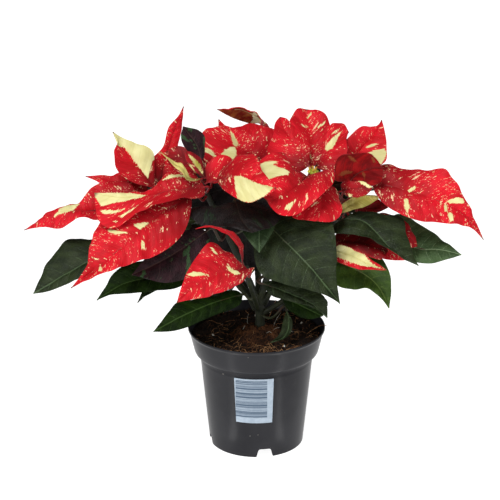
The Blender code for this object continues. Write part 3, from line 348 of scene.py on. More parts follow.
# Every leaf and bract of the near side, left and right as seen from the root with the upper face up
BLADES = (
    blade("bract_left_split", "left", 0.90,
          rib=((-87, 10, 232), (-94, 13, 240), (-109, 20, 256), (-119, 27, 267), (-124, 31, 276)),
          left=((-109, 7, 240), (-120, 9, 250), (-122, 16, 263), (-120, 23, 270)),
          right=((-88, 15, 244), (-88, 20, 256), (-90, 22, 262), (-99, 25, 266), (-114, 30, 270))),
    blade("bract_left_spire", "left", 0.94,
          rib=((-84, 22, 229), (-79, 28, 250), (-72, 35, 272), (-63, 40, 296)),
          left=((-92, 18, 241), (-91, 23, 253), (-81, 31, 262), (-76, 36, 278), (-68, 39, 287)),
          right=((-70, 26, 245), (-68, 32, 262), (-65, 38, 275), (-64, 40, 286))),
    blade("bract_left_thin", "left", 0.84,
          rib=((-93, 12, 223), (-115, 19, 232), (-132, 23, 236), (-148, 26, 237)),
          left=((-102, 4, 222), (-123, 12, 229), (-136, 19, 234)),
          right=((-96, 20, 231), (-116, 26, 237), (-132, 26, 238)), small=True),
    blade("bract_left_far", "left", 0.78,
          rib=((-100, 0, 226), (-134, -5, 218), (-170, -10, 217), (-199, -10, 201)),
          left=((-123, -18, 211), (-149, -17, 215), (-169, -15, 204), (-182, -13, 205)),
          right=((-113, 12, 238), (-136, 9, 236), (-152, 0, 223), (-170, -6, 220), (-189, -9, 207))),
    blade("bract_mid_fold", "mid", 0.88,
          rib=((-44, -29, 247), (-76, -36, 246), (-108, -47, 244), (-135, -52, 250)),
          left=((-45, -36, 241), (-68, -49, 244), (-96, -59, 236), (-121, -63, 223), (-131, -60, 228)),
          right=((-58, -17, 259), (-77, -23, 256), (-88, -34, 247), (-113, -46, 248))),
    blade("bract_mid_broad", "mid", 0.84,
          rib=((-55, -31, 239), (-81, -46, 229), (-115, -72, 207), (-154, -90, 180)),
          left=((-56, -44, 227), (-62, -58, 216), (-82, -72, 203), (-107, -83, 198), (-130, -90, 192)),
          right=((-77, -28, 241), (-113, -40, 236), (-132, -52, 223), (-139, -68, 209), (-141, -80, 196))),
    blade("leaf_mid_purple", "mid", 0.96,
          rib=((-47, -7, 261), (-49, -4, 270), (-54, -4, 281), (-62, -9, 294)),
          left=((-54, -9, 268), (-63, -14, 281), (-63, -13, 289)),
          right=((-44, 1, 268), (-45, 5, 280), (-49, 2, 287), (-56, -4, 291)), small=True),
    blade("bract_mid_young_gold", "mid", 0.97,
          rib=((-48, -28, 254), (-54, -32, 255), (-59, -34, 257), (-62, -34, 265), (-69, -31, 268),
               (-81, -27, 278)),
          left=((-51, -31, 253), (-58, -36, 256), (-63, -37, 263), (-68, -34, 266), (-74, -31, 272)),
          right=((-51, -29, 254), (-56, -32, 257), (-60, -32, 265), (-63, -31, 269), (-68, -29, 269)),
          small=True),
    blade("bract_mid_young_red", "mid", 0.99, rib=((-44, -23, 254), (-51, -25, 265), (-60, -21, 276)),
          left=((-50, -26, 258), (-59, -26, 269)), right=((-45, -21, 264), (-53, -19, 274)), small=True),
    blade("bract_mid_back", "mid", 0.93, rib=((-38, -4, 247), (-52, -1, 254), (-65, 3, 262), (-77, 5, 267)),
          left=((-44, -3, 240), (-62, 1, 245), (-75, 3, 257)),
          right=((-41, 0, 256), (-55, 4, 268), (-69, 9, 270)), small=True),
    blade("bract_mid_right", "mid", 0.95,
          rib=((-42, -23, 249), (-36, -18, 254), (-28, -12, 258), (-19, -6, 260)),
          left=((-43, -14, 260), (-34, -7, 267), (-24, -4, 266)),
          right=((-35, -24, 249), (-27, -16, 251), (-21, -10, 256)), small=True),
    blade("bract_mid_cream", "mid", 0.90,
          rib=((-34, -30, 253), (-16, -43, 263), (1, -58, 261), (16, -66, 259)),
          left=((-28, -26, 264), (-14, -25, 274), (-1, -33, 276), (4, -50, 270)),
          right=((-29, -42, 251), (-17, -57, 247), (-6, -66, 247), (7, -69, 253))),
    blade("bract_rear_broad", "rear", 0.92,
          rib=((-1, 34, 248), (-13, 36, 260), (-23, 42, 271), (-33, 50, 281)),
          left=((-16, 22, 246), (-41, 17, 253), (-50, 23, 264), (-45, 34, 277), (-34, 44, 273)),
          right=((19, 38, 254), (23, 48, 267), (-4, 54, 276), (-21, 50, 272))),
    blade("bract_rear_curl", "rear", 0.96, rib=((7, 62, 249), (8, 66, 268), (-6, 62, 284), (-34, 47, 291)),
          left=((0, 57, 262), (4, 58, 278), (-9, 54, 290), (-23, 50, 291)),
          right=((18, 72, 254), (10, 74, 266), (-7, 68, 272), (-22, 56, 281))),
    blade("bract_centre_top", "centre", 0.94,
          rib=((47, -2, 255), (47, 18, 268), (45, 33, 281), (43, 44, 292)),
          left=((36, 3, 262), (26, 19, 277), (30, 33, 289), (36, 43, 293)),
          right=((57, 6, 261), (64, 22, 273), (61, 37, 287), (52, 44, 291))),
    blade("bract_centre_right", "centre", 0.97,
          rib=((51, -5, 256), (60, 5, 267), (70, 14, 276), (79, 20, 279)),
          left=((55, 6, 263), (60, 17, 278), (65, 25, 286), (74, 25, 285)),
          right=((61, -12, 255), (73, -8, 260), (77, 0, 270), (77, 11, 278))),
    blade("bract_centre_left", "centre", 0.96,
          rib=((44, -4, 257), (34, 7, 271), (24, 17, 283), (20, 23, 292)),
          left=((36, -5, 252), (18, -1, 255), (9, 4, 266), (14, 8, 281), (16, 17, 289)),
          right=((45, 5, 268), (35, 17, 280), (27, 25, 289))),
    blade("bract_centre_front", "centre", 0.90,
          rib=((43, -19, 253), (30, -37, 248), (17, -51, 245), (8, -57, 245)),
          left=((64, -17, 260), (65, -29, 252), (51, -46, 243), (33, -57, 233), (18, -59, 234)),
          right=((34, -10, 264), (16, -19, 274), (1, -32, 270), (-1, -46, 255))),
    blade("bract_centre_low", "centre", 0.82, rib=((54, -10, 243), (55, -28, 232), (51, -42, 221)),
          left=((68, -8, 237), (71, -27, 222), (63, -37, 219)), right=((42, -24, 235), (30, -42, 226))),
    blade("bract_right_crook", "right", 0.96,
          rib=((78, 13, 246), (88, 15, 264), (100, 19, 277), (107, 21, 290)),
          left=((68, 5, 265), (81, 17, 278), (90, 21, 284), (103, 22, 284)),
          right=((93, 4, 251), (110, 5, 258), (111, 9, 267), (110, 16, 280))),
    blade("bract_right_shade", "right", 0.92,
          rib=((79, 0, 241), (88, -4, 252), (97, -6, 256), (107, -6, 256)),
          left=((86, -4, 239), (97, -6, 239), (106, -6, 244)),
          right=((65, -12, 249), (66, -18, 259), (70, -19, 269), (76, -18, 273), (94, -14, 272),
                 (101, -9, 265))),
    blade("bract_right_broad", "right", 0.86,
          rib=((98, 4, 240), (120, -3, 237), (148, -8, 230), (175, -17, 219), (193, -25, 198)),
          left=((107, 13, 252), (130, 11, 249), (150, 7, 250), (161, 4, 251), (166, 0, 246),
                (174, -6, 236), (184, -15, 217)),
          right=((103, -8, 231), (116, -17, 222), (135, -23, 215), (159, -27, 214), (179, -27, 211))),
    blade("bract_right_small", "right", 0.95,
          rib=((73, -14, 238), (79, -20, 242), (87, -24, 244), (98, -25, 245)),
          left=((72, -14, 245), (84, -20, 249), (91, -22, 249)),
          right=((77, -22, 236), (86, -26, 237), (92, -27, 239)), small=True, wave=0.13, waves=2.9),
    blade("bract_right_olive", "right", 0.78,
          rib=((68, -12, 216), (81, -9, 224), (93, -5, 228), (107, 0, 228)),
          left=((74, -8, 225), (90, -1, 229)), right=((80, -13, 220), (93, -8, 222)), small=True),
    blade("bract_right_under", "right", 0.74, rib=((82, 12, 214), (98, 9, 215), (113, 5, 216)),
          left=((89, 16, 219), (105, 14, 220)), right=((87, 6, 211), (105, 5, 212)), small=True),
    blade("bract_lowright_cream", "low_right", 0.92,
          rib=((65, -17, 184), (79, -34, 187), (95, -49, 185), (109, -60, 184)),
          left=((71, -20, 191), (85, -33, 191), (98, -48, 188)),
          right=((66, -33, 183), (80, -46, 181), (95, -56, 183))),
    blade("bract_right_back", "right", 0.82,
          rib=((88, 0, 203), (106, -2, 204), (124, -6, 198), (138, -10, 186)),
          left=((98, 8, 209), (118, 6, 208), (132, 1, 200)),
          right=((97, -8, 197), (114, -11, 194), (130, -13, 186)), small=True),
    blade("bract_lowright_dark", "low_right", 0.96, rib=((66, -6, 191), (88, -12, 190), (112, -22, 186)),
          left=((75, 3, 199), (95, -1, 194), (109, -9, 188)),
          right=((72, -16, 184), (92, -22, 183), (106, -28, 181)), small=True),
    blade("bract_lowright_side", "low_right", 0.88, rib=((95, 28, 176), (118, 33, 169), (141, 38, 157)),
          left=((109, 36, 182), (132, 40, 179)), right=((107, 22, 164), (125, 28, 158)), small=True),
    blade("bract_front_low", "low_front", 0.92,
          rib=((-7, -60, 184), (-26, -76, 189), (-47, -91, 185), (-66, -102, 172)),
          left=((-2, -62, 187), (-13, -72, 178), (-39, -90, 173), (-54, -100, 174)),
          right=((-18, -60, 195), (-39, -64, 210), (-51, -80, 202), (-60, -94, 190))),
    blade("bract_front_edge", "low_front", 0.97,
          rib=((-12, -50, 187), (-15, -58, 205), (-24, -66, 221), (-37, -72, 228), (-51, -76, 227)),
          left=((-16, -63, 207), (-28, -74, 224), (-41, -79, 230)),
          right=((-12, -52, 204), (-22, -60, 219), (-37, -66, 225)), small=True),
    blade("leaf_left_far", "left", 0.45,
          rib=((-79, -6, 201), (-116, -13, 188), (-152, -19, 171), (-192, -22, 147)),
          left=((-108, -24, 177), (-138, -30, 170), (-161, -29, 160), (-177, -25, 151)),
          right=((-108, 4, 196), (-142, 5, 185), (-161, 2, 189), (-178, -8, 173))),
    blade("leaf_left_under", "left", 0.30,
          rib=((-43, -22, 171), (-83, -28, 166), (-113, -31, 160), (-137, -32, 145)),
          left=((-64, -36, 160), (-87, -38, 156), (-107, -38, 154), (-124, -36, 152)),
          right=((-57, -16, 176), (-93, -18, 177), (-119, -23, 170), (-128, -28, 158))),
    blade("leaf_left_blotched", "mid", 0.55,
          rib=((-43, -32, 208), (-65, -44, 196), (-86, -52, 186), (-105, -58, 179)),
          left=((-38, -40, 189), (-53, -52, 176), (-77, -58, 172), (-95, -60, 177)),
          right=((-60, -32, 215), (-82, -42, 202), (-97, -53, 188))),
    blade("leaf_left_hook", "left", 0.22,
          rib=((-56, 12, 151), (-83, 12, 143), (-96, 10, 136), (-104, 6, 127)),
          left=((-70, 2, 144), (-87, 2, 141)), right=((-70, 18, 153), (-91, 17, 147)), small=True),
    blade("leaf_front_left", "low_front", 0.26,
          rib=((-12, -14, 143), (-33, -34, 145), (-57, -54, 143), (-87, -72, 133)),
          left=((-15, -22, 137), (-36, -43, 136), (-57, -60, 133), (-73, -69, 132)),
          right=((-21, -10, 146), (-50, -32, 147), (-69, -49, 149), (-79, -62, 140))),
    blade("leaf_centre_dark", "mid", 0.64,
          rib=((-18, -18, 230), (-16, -34, 230), (-12, -52, 225), (-4, -66, 220)),
          left=((6, -24, 230), (21, -38, 226), (12, -56, 222)),
          right=((-40, -26, 227), (-59, -29, 225), (-46, -50, 221), (-22, -60, 222))),
    blade("leaf_mid_back", "centre", 0.66, rib=((20, -2, 226), (-4, 3, 236), (-34, 3, 232), (-61, -2, 221)),
          left=((13, -8, 216), (-12, -8, 216), (-48, -4, 217)),
          right=((8, 12, 241), (-24, 15, 246), (-52, 8, 235)), small=True),
    blade("leaf_centre_inner", "rear", 0.60, rib=((-8, 7, 207), (-9, 7, 188), (-9, 8, 168), (-7, 8, 150)),
          left=((10, 5, 200), (11, 5, 178), (0, 7, 160)), right=((-37, 4, 205), (-46, 4, 187), (-26, 7, 163)),
          small=True),
    blade("leaf_centre_tip", "mid", 0.55, rib=((2, -36, 220), (2, -52, 212), (2, -60, 200)),
          left=((15, -42, 218), (9, -55, 209)), right=((-12, -44, 216), (-6, -56, 208)), small=True),
    blade("leaf_centre_broad", "centre", 0.55,
          rib=((9, -24, 212), (23, -37, 202), (43, -52, 186), (60, -62, 168), (70, -66, 156)),
          left=((32, -21, 222), (61, -31, 219), (67, -50, 200), (66.5, -60, 180), (68.5, -64, 166)),
          right=((-2, -40, 198), (3, -55, 179), (23, -61, 172), (45, -65, 168), (60, -67, 163))),
    blade("leaf_centre_low", "centre", 0.25,
          rib=((5, -26, 158), (28, -38, 154), (45, -45, 148), (60, -49, 136)),
          left=((20, -26, 162), (41, -33, 160), (58, -42, 151)),
          right=((12, -34, 151), (34, -45, 148), (48, -48, 145))),
    blade("leaf_centre_under", "low_right", 0.30, rib=((22, -12, 140), (38, -17, 134), (57, -22, 126)),
          left=((38, -8, 143), (61, -15, 137)), right=((27, -18, 131), (43, -23, 124)), small=True),
    blade("leaf_soil_curl", "main", 0.60,
          rib=((26, -16, 128), (28, -24, 120), (24, -31, 111), (12, -35, 107)),
          left=((31, -24, 121), (27, -33, 112)), right=((23, -22, 122), (20, -32, 114)), small=True),
    blade("leaf_right_fold", "right", 0.60,
          rib=((72, -10, 210), (91, -14, 211), (103, -26, 203), (116, -36, 192), (137, -42, 181)),
          left=((84, -4, 216), (104, -3, 214), (122, -8, 212), (128, -21, 203), (133, -36, 187)),
          right=((63, -19, 204), (84, -27, 203), (98, -34, 202), (116, -41, 192))),
    blade("leaf_right_side", "right", 0.62,
          rib=((110, 16, 192), (138, 5, 179), (158, -5, 181), (176, -12, 179)),
          left=((123, 22, 204), (144, 15, 195), (161, 2, 187)),
          right=((127, -2, 172), (149, -9, 170), (164, -13, 175))),
    blade("leaf_right_low", "low_right", 0.60,
          rib=((67, -8, 171), (87, -18, 167), (104, -30, 157), (113, -40, 141)),
          left=((81, 0, 180), (102, -9, 180), (113, -22, 169), (115, -33, 156)),
          right=((68, -22, 156), (82, -30, 154), (97, -36, 157), (106, -39, 150))),
)

# Cream patches: outlines in hundredths of a blade, (across, along), left edge -100, right edge 100
CREAM = {
    "bract_left_split": (
        ((130, 102), (-130, 102), (-135, 86), (-71, 80), (16, 73), (9, 54), (4, 32), (1, 16), (50, 24),
         (84, 34), (130, 36), (130, 52), (130, 75), (130, 90)),
    ),
    "bract_left_far": (
        ((65, 69), (85, 64), (59, 53), (-17, 56), (-17, 62), (-21, 73), (12, 68)),
    ),
    "bract_mid_fold": (
        ((90, 102), (130, 86), (75, 71), (-1, 52), (-15, 57), (-10, 66), (-20, 79), (-60, 87), (-72, 95)),
        ((-80, 87), (-50, 80), (-42, 68), (-52, 74), (-72, 82)),
        ((-62, 72), (-56, 62), (-50, 56), (-62, 60), (-70, 68)),
        ((64, 41), (78, 35), (69, 26), (55, 17), (55, 25), (56, 33)),
        ((-80, 74), (-71, 71), (-81, 71)),
    ),
    "bract_mid_broad": (
        ((26, 43), (15, 38), (0, 33), (-1, 37), (3, 42), (19, 43)),
        ((-29, 46), (-41, 46), (-62, 49), (-59, 51)),
        ((66, 57), (46, 54), (15, 49), (39, 56), (55, 58)),
        ((79, 78), (23, 74), (39, 77)),
        ((1, 76), (-66, 78), (-74, 81)),
    ),
    "bract_front_low": (
        ((96, 76), (66, 68), (35, 61), (4, 53), (24, 62), (56, 72)),
        ((86, 44), (85, 42), (60, 38), (59, 41)),
        ((21, 31), (12, 25), (-15, 20), (-47, 21), (-40, 28), (-7, 28)),
    ),
    "bract_rear_broad": (
        ((9, 72), (5, 57), (0, 43), (-14, 40), (-14, 46), (-6, 58)),
        ((-64, 43), (-42, 46), (-21, 44), (-16, 41), (-25, 34), (-60, 28), (-76, 30), (-81, 34), (-75, 40)),
        ((-94, 56), (-82, 56), (-74, 52), (-74, 44), (-82, 44), (-84, 51), (-93, 54)),
    ),
    "bract_rear_curl": (
        ((-100, 54), (28, 39), (-1, 30), (100, 47), (100, 54), (66, 51)),
    ),
    "bract_mid_cream": (
        ((11, 35), (3, 44), (3, 53), (5, 66), (7, 77), (-6, 87), (-4, 96), (100, 84), (100, 78), (100, 68),
         (100, 57), (100, 48), (78, 43), (50, 39)),
    ),
    "bract_centre_front": (
        ((96, 73), (94, 62), (89, 55), (76, 48), (70, 46), (73, 52), (59, 48), (41, 38), (34, 41), (41, 54),
         (51, 64), (64, 73), (79, 78), (93, 77)),
        ((-60, 79), (-45, 73), (-47, 62), (-50, 66), (-75, 77), (-72, 79)),
    ),
    "bract_centre_right": (
        ((-50, 37), (-40, 50), (-26, 65), (-36, 86), (1, 69), (18, 51), (-4, 38)),
        ((-52, 61), (-49, 71), (-60, 81), (-35, 73)),
    ),
    "bract_centre_top": (
        ((-44, 70), (-5, 71), (-9, 68), (-45, 68)),
        ((38, 66), (83, 69), (84, 67), (40, 63)),
        ((-19, 86), (56, 91), (46, 88), (-12, 85)),
        ((-90, 49), (-55, 43), (-59, 41), (-94, 47)),
        ((-41, 43), (-31, 40), (5, 16), (-16, 17)),
    ),
    "bract_centre_left": (
        ((-99, 55), (-91, 53), (-93, 39), (-100, 41)),
    ),
    "bract_right_crook": (
        ((7, 48), (18, 58), (56, 66), (31, 57), (14, 49)),
        ((28, 44), (48, 55), (84, 64), (100, 63), (95, 55), (100, 44), (88, 42), (61, 44)),
    ),
    "bract_right_broad": (
        ((-10, 60), (-51, 66), (-82, 72), (-59, 73), (-19, 66), (-9, 62)),
        ((10, 59), (-1, 61), (38, 64), (40, 62)),
        ((38, 65), (33, 68), (79, 72), (88, 70), (54, 66)),
        ((41, 31), (36, 33), (66, 38), (94, 39), (69, 34)),
        ((0, 29), (-26, 34), (-20, 35), (7, 31)),
    ),
    "bract_lowright_cream": (
        ((-100, 6), (-100, 16), (-100, 29), (-85, 48), (-100, 58), (-42, 73), (-14, 88), (-100, 100),
         (48, 91), (51, 72), (61, 46), (93, 17)),
    ),
    "bract_right_shade": (
        ((20, 30), (55, 26), (90, 27), (60, 33), (25, 36)),
        ((25, 52), (60, 50), (95, 55), (60, 56)),
        ((-60, 42), (-20, 44), (0, 50), (-30, 50)),
        ((30, 80), (70, 78), (90, 83), (50, 86)),
    ),
    "bract_mid_young_red": (
        ((-10, 10), (25, 14), (50, 40), (35, 70), (5, 90), (-15, 60)),
        ((-130, 30), (-80, 40), (-70, 60), (-130, 62)),
    ),
    "bract_right_small": (
        ((-130, 60), (-60, 70), (-10, 86), (20, 102), (-40, 102), (-80, 86), (-130, 78)),
        ((60, 30), (130, 36), (70, 42)),
    ),
}

# Pieces with another look than the usual one: the look, the slot it takes, the pieces
OTHER_LOOKS = (
    ("leaf_dusk", "leaf_purple", ("leaf_mid_purple", "leaf_left_blotched")),
    # The next two rows: leaves deep inside the plant take near-black tones as painted shade
    ("leaf_gloom", "leaf_purple", ("leaf_centre_dark", "leaf_mid_back")),
    ("leaf_gloom", "leaf_green", ("leaf_centre_inner",)),
    ("leaf_fresh", "leaf_green", ("leaf_right_low",)),
    ("leaf_broad", "leaf_green", ("leaf_centre_tip",)),
    # The leaf at the right side takes the lighter green copy: painted light
    ("leaf_light", "leaf_green", ("leaf_right_side",)),
    # The low leaves take the darker green copy: painted shade
    ("leaf_shade", "leaf_green", ("leaf_front_left", "leaf_left_under", "leaf_left_hook",
                                  "leaf_centre_under")),
    ("bract_gold", "bract_gold", ("bract_mid_young_gold", "bract_right_olive")),
    # Bracts that sit in shade take the darker red copy: painted shade
    ("bract_deep", "bract_red", ("bract_mid_back", "bract_right_back", "bract_right_under",
                                 "bract_lowright_dark", "bract_right_small")),
    ("bract_ochre", "bract_red", ("bract_right_shade",)),
    ("bract_bronze", "bract_red", ("bract_rear_curl",)),
    ("bract_young", "bract_red", ("bract_mid_young_red",)),
)
LOOKS = {node: (look, slot) for look, slot, nodes in OTHER_LOOKS for node in nodes}

# Loose threads that stand off or hang over the rim, in millimetres
LOOSE_THREADS = (
    ((10.2, 27.5, 101.5), (14.5, 38.0, 108.0), (17.6, 50.0, 111.5)),
    ((44.0, -4.0, 101.5), (56.0, -2.0, 108.6), (61.5, -3.0, 108.9)),
    ((-13.0, -25.0, 102.0), (-15.0, -45.0, 104.5), (-12.0, -57.0, 108.6)),
    ((0.0, -27.0, 102.0), (-4.0, -46.0, 104.0), (-1.0, -59.0, 108.9)),
    ((10.0, -24.0, 102.0), (12.0, -42.0, 103.5), (9.0, -58.0, 108.7)),
)
# Fine white roots that stand up out of the compost
WHITE_ROOTS = (
    ((-6.0, 4.0, 101.0), (-8.0, 4.0, 110.0), (-7.0, 2.0, 118.0)),
    ((14.0, 2.0, 101.0), (16.0, 1.0, 110.0), (21.0, -2.0, 121.0)),
    ((13.0, -6.0, 102.0), (15.0, -7.0, 107.0), (20.0, -9.0, 110.0)),
    ((-14.0, -4.0, 103.0), (-12.0, -7.0, 107.0), (-10.0, -9.0, 112.0)),
    ((7.0, -14.0, 105.0), (11.0, -15.0, 108.5), (13.0, -17.0, 108.0)),
)


def deselect_all():
    bpy.ops.object.select_all(action="DESELECT")


def choose(*pieces):
    """Select these pieces alone, the first of them active."""
    deselect_all()
    for piece in pieces:
        piece.select_set(True)
    bpy.context.view_layer.objects.active = pieces[0]


def unit(vectors):
    return vectors / np.maximum(np.linalg.norm(vectors, axis=-1, keepdims=True), 1e-9)


def dot(first, second):
    """Row by row, how far the first vectors reach along the second."""
    return (first * second).sum(1)


def smooth_curve(points, steps=16):
    """A smooth curve through all the points, as closely spaced positions."""
    knots = np.array(points, dtype=float)
    spans = np.sqrt(np.linalg.norm(np.diff(knots, axis=0), axis=1))
    times = np.concatenate([[0.0], np.cumsum(spans)])
    slopes = np.zeros_like(knots)
    chords = np.diff(knots, axis=0) / spans[:, None]
    for k in range(1, len(knots) - 1):
        slopes[k] = (chords[k - 1] * spans[k] + chords[k] * spans[k - 1]) / (times[k + 1] - times[k - 1])
    slopes[0] = 1.5 * chords[0] - 0.5 * slopes[1]
    slopes[-1] = 1.5 * chords[-1] - 0.5 * slopes[-2]
    curve = []
    for k, span in enumerate(spans):
        for s in np.arange(steps) / steps:
            start = (2 * s**3 - 3 * s**2 + 1) * knots[k] + (s**3 - 2 * s**2 + s) * span * slopes[k]
            end = (3 * s**2 - 2 * s**3) * knots[k + 1] + (s**3 - s**2) * span * slopes[k + 1]
            curve.append(start + end)
    curve.append(knots[-1])
    return np.array(curve)


def along(points, fractions):
    """Positions at fractions of the length of the smooth curve through the points."""
    curve = smooth_curve(points)
    reach = np.concatenate([[0.0], np.cumsum(np.linalg.norm(np.diff(curve, axis=0), axis=1))])
    wanted = np.asarray(fractions) * reach[-1]
    return np.stack([np.interp(wanted, reach, curve[:, axis]) for axis in range(3)], axis=1)


def curve_length(points):
    return float(np.linalg.norm(np.diff(smooth_curve(points), axis=0), axis=1).sum())


def smoothed(rows, passes=3):
    """Rows of vectors with their small turns evened out."""
    for _ in range(passes):
        padded = np.concatenate([rows[:1], rows, rows[-1:]])
        rows = (padded[:-2] + 2 * padded[1:-1] + padded[2:]) / 4
    return rows


def half_reach(edge, rib, side, normal, hand, floor):
    """Rib to edge on one side, kept from closing on itself and never narrower than the floor."""
    reach = edge - rib
    sideways = np.maximum(hand * dot(reach, side), floor * FOLD_SLACK)
    lift = np.clip(dot(reach, normal), -FOLD_LIMIT * sideways, FOLD_LIMIT * sideways)
    onward = reach - side * dot(reach, side)[:, None] - normal * dot(reach, normal)[:, None]
    slack = np.linalg.norm(onward, axis=1)
    shrink = np.minimum(1.0, FOLD_SLACK * sideways / np.maximum(slack, 1e-9))
    return side * (hand * sideways)[:, None] + normal * lift[:, None] + onward * shrink[:, None]


def middle_surface(form, stations, across):
    """Middle surface of a blade as rows of points, with each point's distance from the rib."""
    root, tip = form["rib"][0], form["rib"][-1]
    rib = along(form["rib"], stations)
    left = along((root, *form["left"], tip), stations)
    right = along((root, *form["right"], tip), stations)
    heading = np.gradient(rib, axis=0)
    spread = right - left
    first, last = np.searchsorted(stations, STEADY_PART)
    inner = np.clip(np.arange(len(stations)), first, last)
    side = unit(smoothed(unit(spread[inner])))
    normal = unit(smoothed(unit(np.cross(spread, heading))[inner]))
    side = unit(side - normal * dot(side, normal)[:, None])
    neck = NECK_HALF_WIDTH * (1 - stations / NECK_END)
    point = TIP_HALF_WIDTH * (stations - TIP_START) / (1 - TIP_START)
    floor = np.maximum(np.maximum(neck, point), LEAST_HALF_WIDTH)
    halves = {-1: half_reach(left, rib, side, normal, -1, floor),
              1: half_reach(right, rib, side, normal, 1, floor)}
    ease = np.minimum(1.0, 5 * np.minimum(stations, 1 - stations))
    points = np.zeros((len(stations), len(across), 3))
    distance = np.zeros((len(stations), len(across)))
    for column, v in enumerate(across):
        reach = halves[-1 if v < 0 else 1]
        width = np.linalg.norm(reach, axis=1)
        swing = np.sin(2 * math.pi * form["waves"] * stations + form["phase"] + (1.7 if v > 0 else 0.0))
        lift = BLADE_CUP * 2 * abs(v) * (1 - abs(v)) + form["wave"] * v * v * swing * ease
        points[:, column] = rib + reach * abs(v) + normal * (width * lift)[:, None]
        distance[:, column] = width * v
    return points, distance


def row_normals(grid):
    return unit(np.cross(np.gradient(grid, axis=1), np.gradient(grid, axis=0)))


def vein_lines(length, stations, across, distance):
    """How far along the rib, in millimetres, the side vein through each point starts."""
    slant = VEIN_SLANT + VEIN_BEND * np.abs(across)[None, :]
    return stations[:, None] * length - np.abs(distance) * slant


def relief(form, length, stations, across, distance, veins, traits):
    """Height of quilting, grooves, ruffles and creases over the middle surface."""
    share = np.abs(across)[None, :]
    ease = np.minimum(1.0, 7 * np.minimum(stations, 1 - stations))[:, None]
    shift = np.where(across < 0, 0.5, 0.0)[None, :]
    quilt = (0.5 - 0.5 * np.cos(2 * math.pi * (veins / traits["vein_pitch"] + shift))) ** 0.8
    quilt = quilt * (1 - share**4) * np.minimum(1.0, 4 * share) * traits["quilt"]
    groove = -traits["groove"] * np.exp(-((distance / GROOVE_HALF_WIDTH) ** 2))
    place = stations[:, None] * length
    beat = 2 * math.pi * place / traits["ruffle_pitch"] + form["phase"] + np.where(across > 0, 2.1, 0.0)
    ruffle = traits["ruffle"] * share**3 * (np.sin(beat) + 0.5 * np.sin(1.7 * beat + 1.3))
    crease = traits["crease"] * sum(rise * np.sin(on * place + over * distance + turn * traits["seed"])
                                    for on, over, turn, rise in CREASE_WAVES)
    width = np.minimum(1.0, np.abs(distance).max(axis=1) / 10.0)[:, None]
    return (quilt + ruffle * width + crease * width) * ease + groove * ease


def patch_distance(outline, length, stations, across, distance):
    """Signed distance, in millimetres, to an outline given as (share across, share along)."""
    half = {-1: np.abs(distance[:, 0]), 1: np.abs(distance[:, -1])}
    corners = np.array([(v * float(np.interp(u, stations, half[-1 if v < 0 else 1])), u * length)
                        for v, u in outline])
    x = distance.ravel()
    y = np.repeat(stations * length, len(across))
    nearest = np.full(x.shape, 1e9)
    inside = np.zeros(x.shape, dtype=bool)
    for (ax, ay), (bx, by) in zip(corners, np.roll(corners, -1, axis=0)):
        dx, dy = bx - ax, by - ay
        part = np.clip(((x - ax) * dx + (y - ay) * dy) / max(dx * dx + dy * dy, 1e-9), 0.0, 1.0)
        nearest = np.minimum(nearest, np.hypot(x - ax - part * dx, y - ay - part * dy))
        if ay != by:
            inside ^= ((ay > y) != (by > y)) & (x < ax + (y - ay) * dx / dy)
    return np.where(inside, nearest, -nearest).reshape(distance.shape)


def stalk_line(form, start):
    """Stalk centre line from the shoot to the root of the blade."""
    root = np.array(form["rib"][0], dtype=float)
    ahead = unit(np.array(form["rib"][1], dtype=float) - root)
    away, lead = start
    span = float(np.linalg.norm(root - away))
    return (away, away + lead * span * STALK_LEAD, root - ahead * span * STALK_ARRIVAL, root)


def shoot_start(form):
    """Where a stalk leaves its shoot: a point just in the bark and the direction outwards."""
    points, foot, top = SHOOTS[form["shoot"]]
    height = form["height"]
    here, before, after = along(points, (height, max(0.0, height - 0.03), min(1.0, height + 0.03)))
    forward = unit(after - before)
    towards = np.array(form["rib"][0], dtype=float) - here
    lead = unit(towards - (towards @ forward) * forward)
    bark = foot + (top - foot) * height
    return here + lead * (bark - BARK_DEPTH), lead


def tube_piece(name, lines, surface, bevel=3):
    """Round tubes along lines of (point, radius), swept as bevelled curves and made a mesh."""
    bpy.ops.curve.primitive_bezier_curve_add(radius=METRES_PER_MM)
    tube = bpy.context.object
    tube.name = name
    tube.data.splines.clear()
    for line in lines:
        spline = tube.data.splines.new("POLY")
        spline.points.add(len(line) - 1)
        for knot, (place, radius) in zip(spline.points, line):
            knot.co = (*(float(c) * METRES_PER_MM for c in place), 1.0)
            knot.radius = float(radius)
    tube.data.bevel_depth = METRES_PER_MM
    tube.data.bevel_resolution = bevel
    tube.data.use_fill_caps = True
    bpy.ops.object.convert(target="MESH")
    tube = bpy.context.object
    tube.data.materials.clear()
    tube.data.materials.append(surface)
    return tube


def seed_of(name):
    """A number from 0 to 1 that belongs to a name."""
    return (sum((k + 3) * ord(letter) for k, letter in enumerate(name)) * 0.61803) % 1.0


def stalk_rings(form, start, grid, stations, traits):
    """Stalk from its shoot to the blade, then the midrib under the blade, as (point, radius)."""
    radius = traits["stalk"]
    middle = grid.shape[1] // 2
    shares = np.linspace(0.0, 1.0, STALK_RINGS + 1)[:-1]
    line = list(zip(along(stalk_line(form, start), shares), radius * (1.15 - 0.25 * shares)))
    down = row_normals(grid)[:, middle]
    rib = radius * traits["rib"]
    for share in MIDRIB_RINGS:
        k = int(share * (len(stations) - 1))
        slim = max(0.0, 1.0 - share / 0.1)
        girth = (radius * 0.85 * slim + rib * (1 - slim)) * (1 - share) ** 0.8
        line.append((grid[k, middle] - down[k] * 0.5 * girth, girth))
    return line


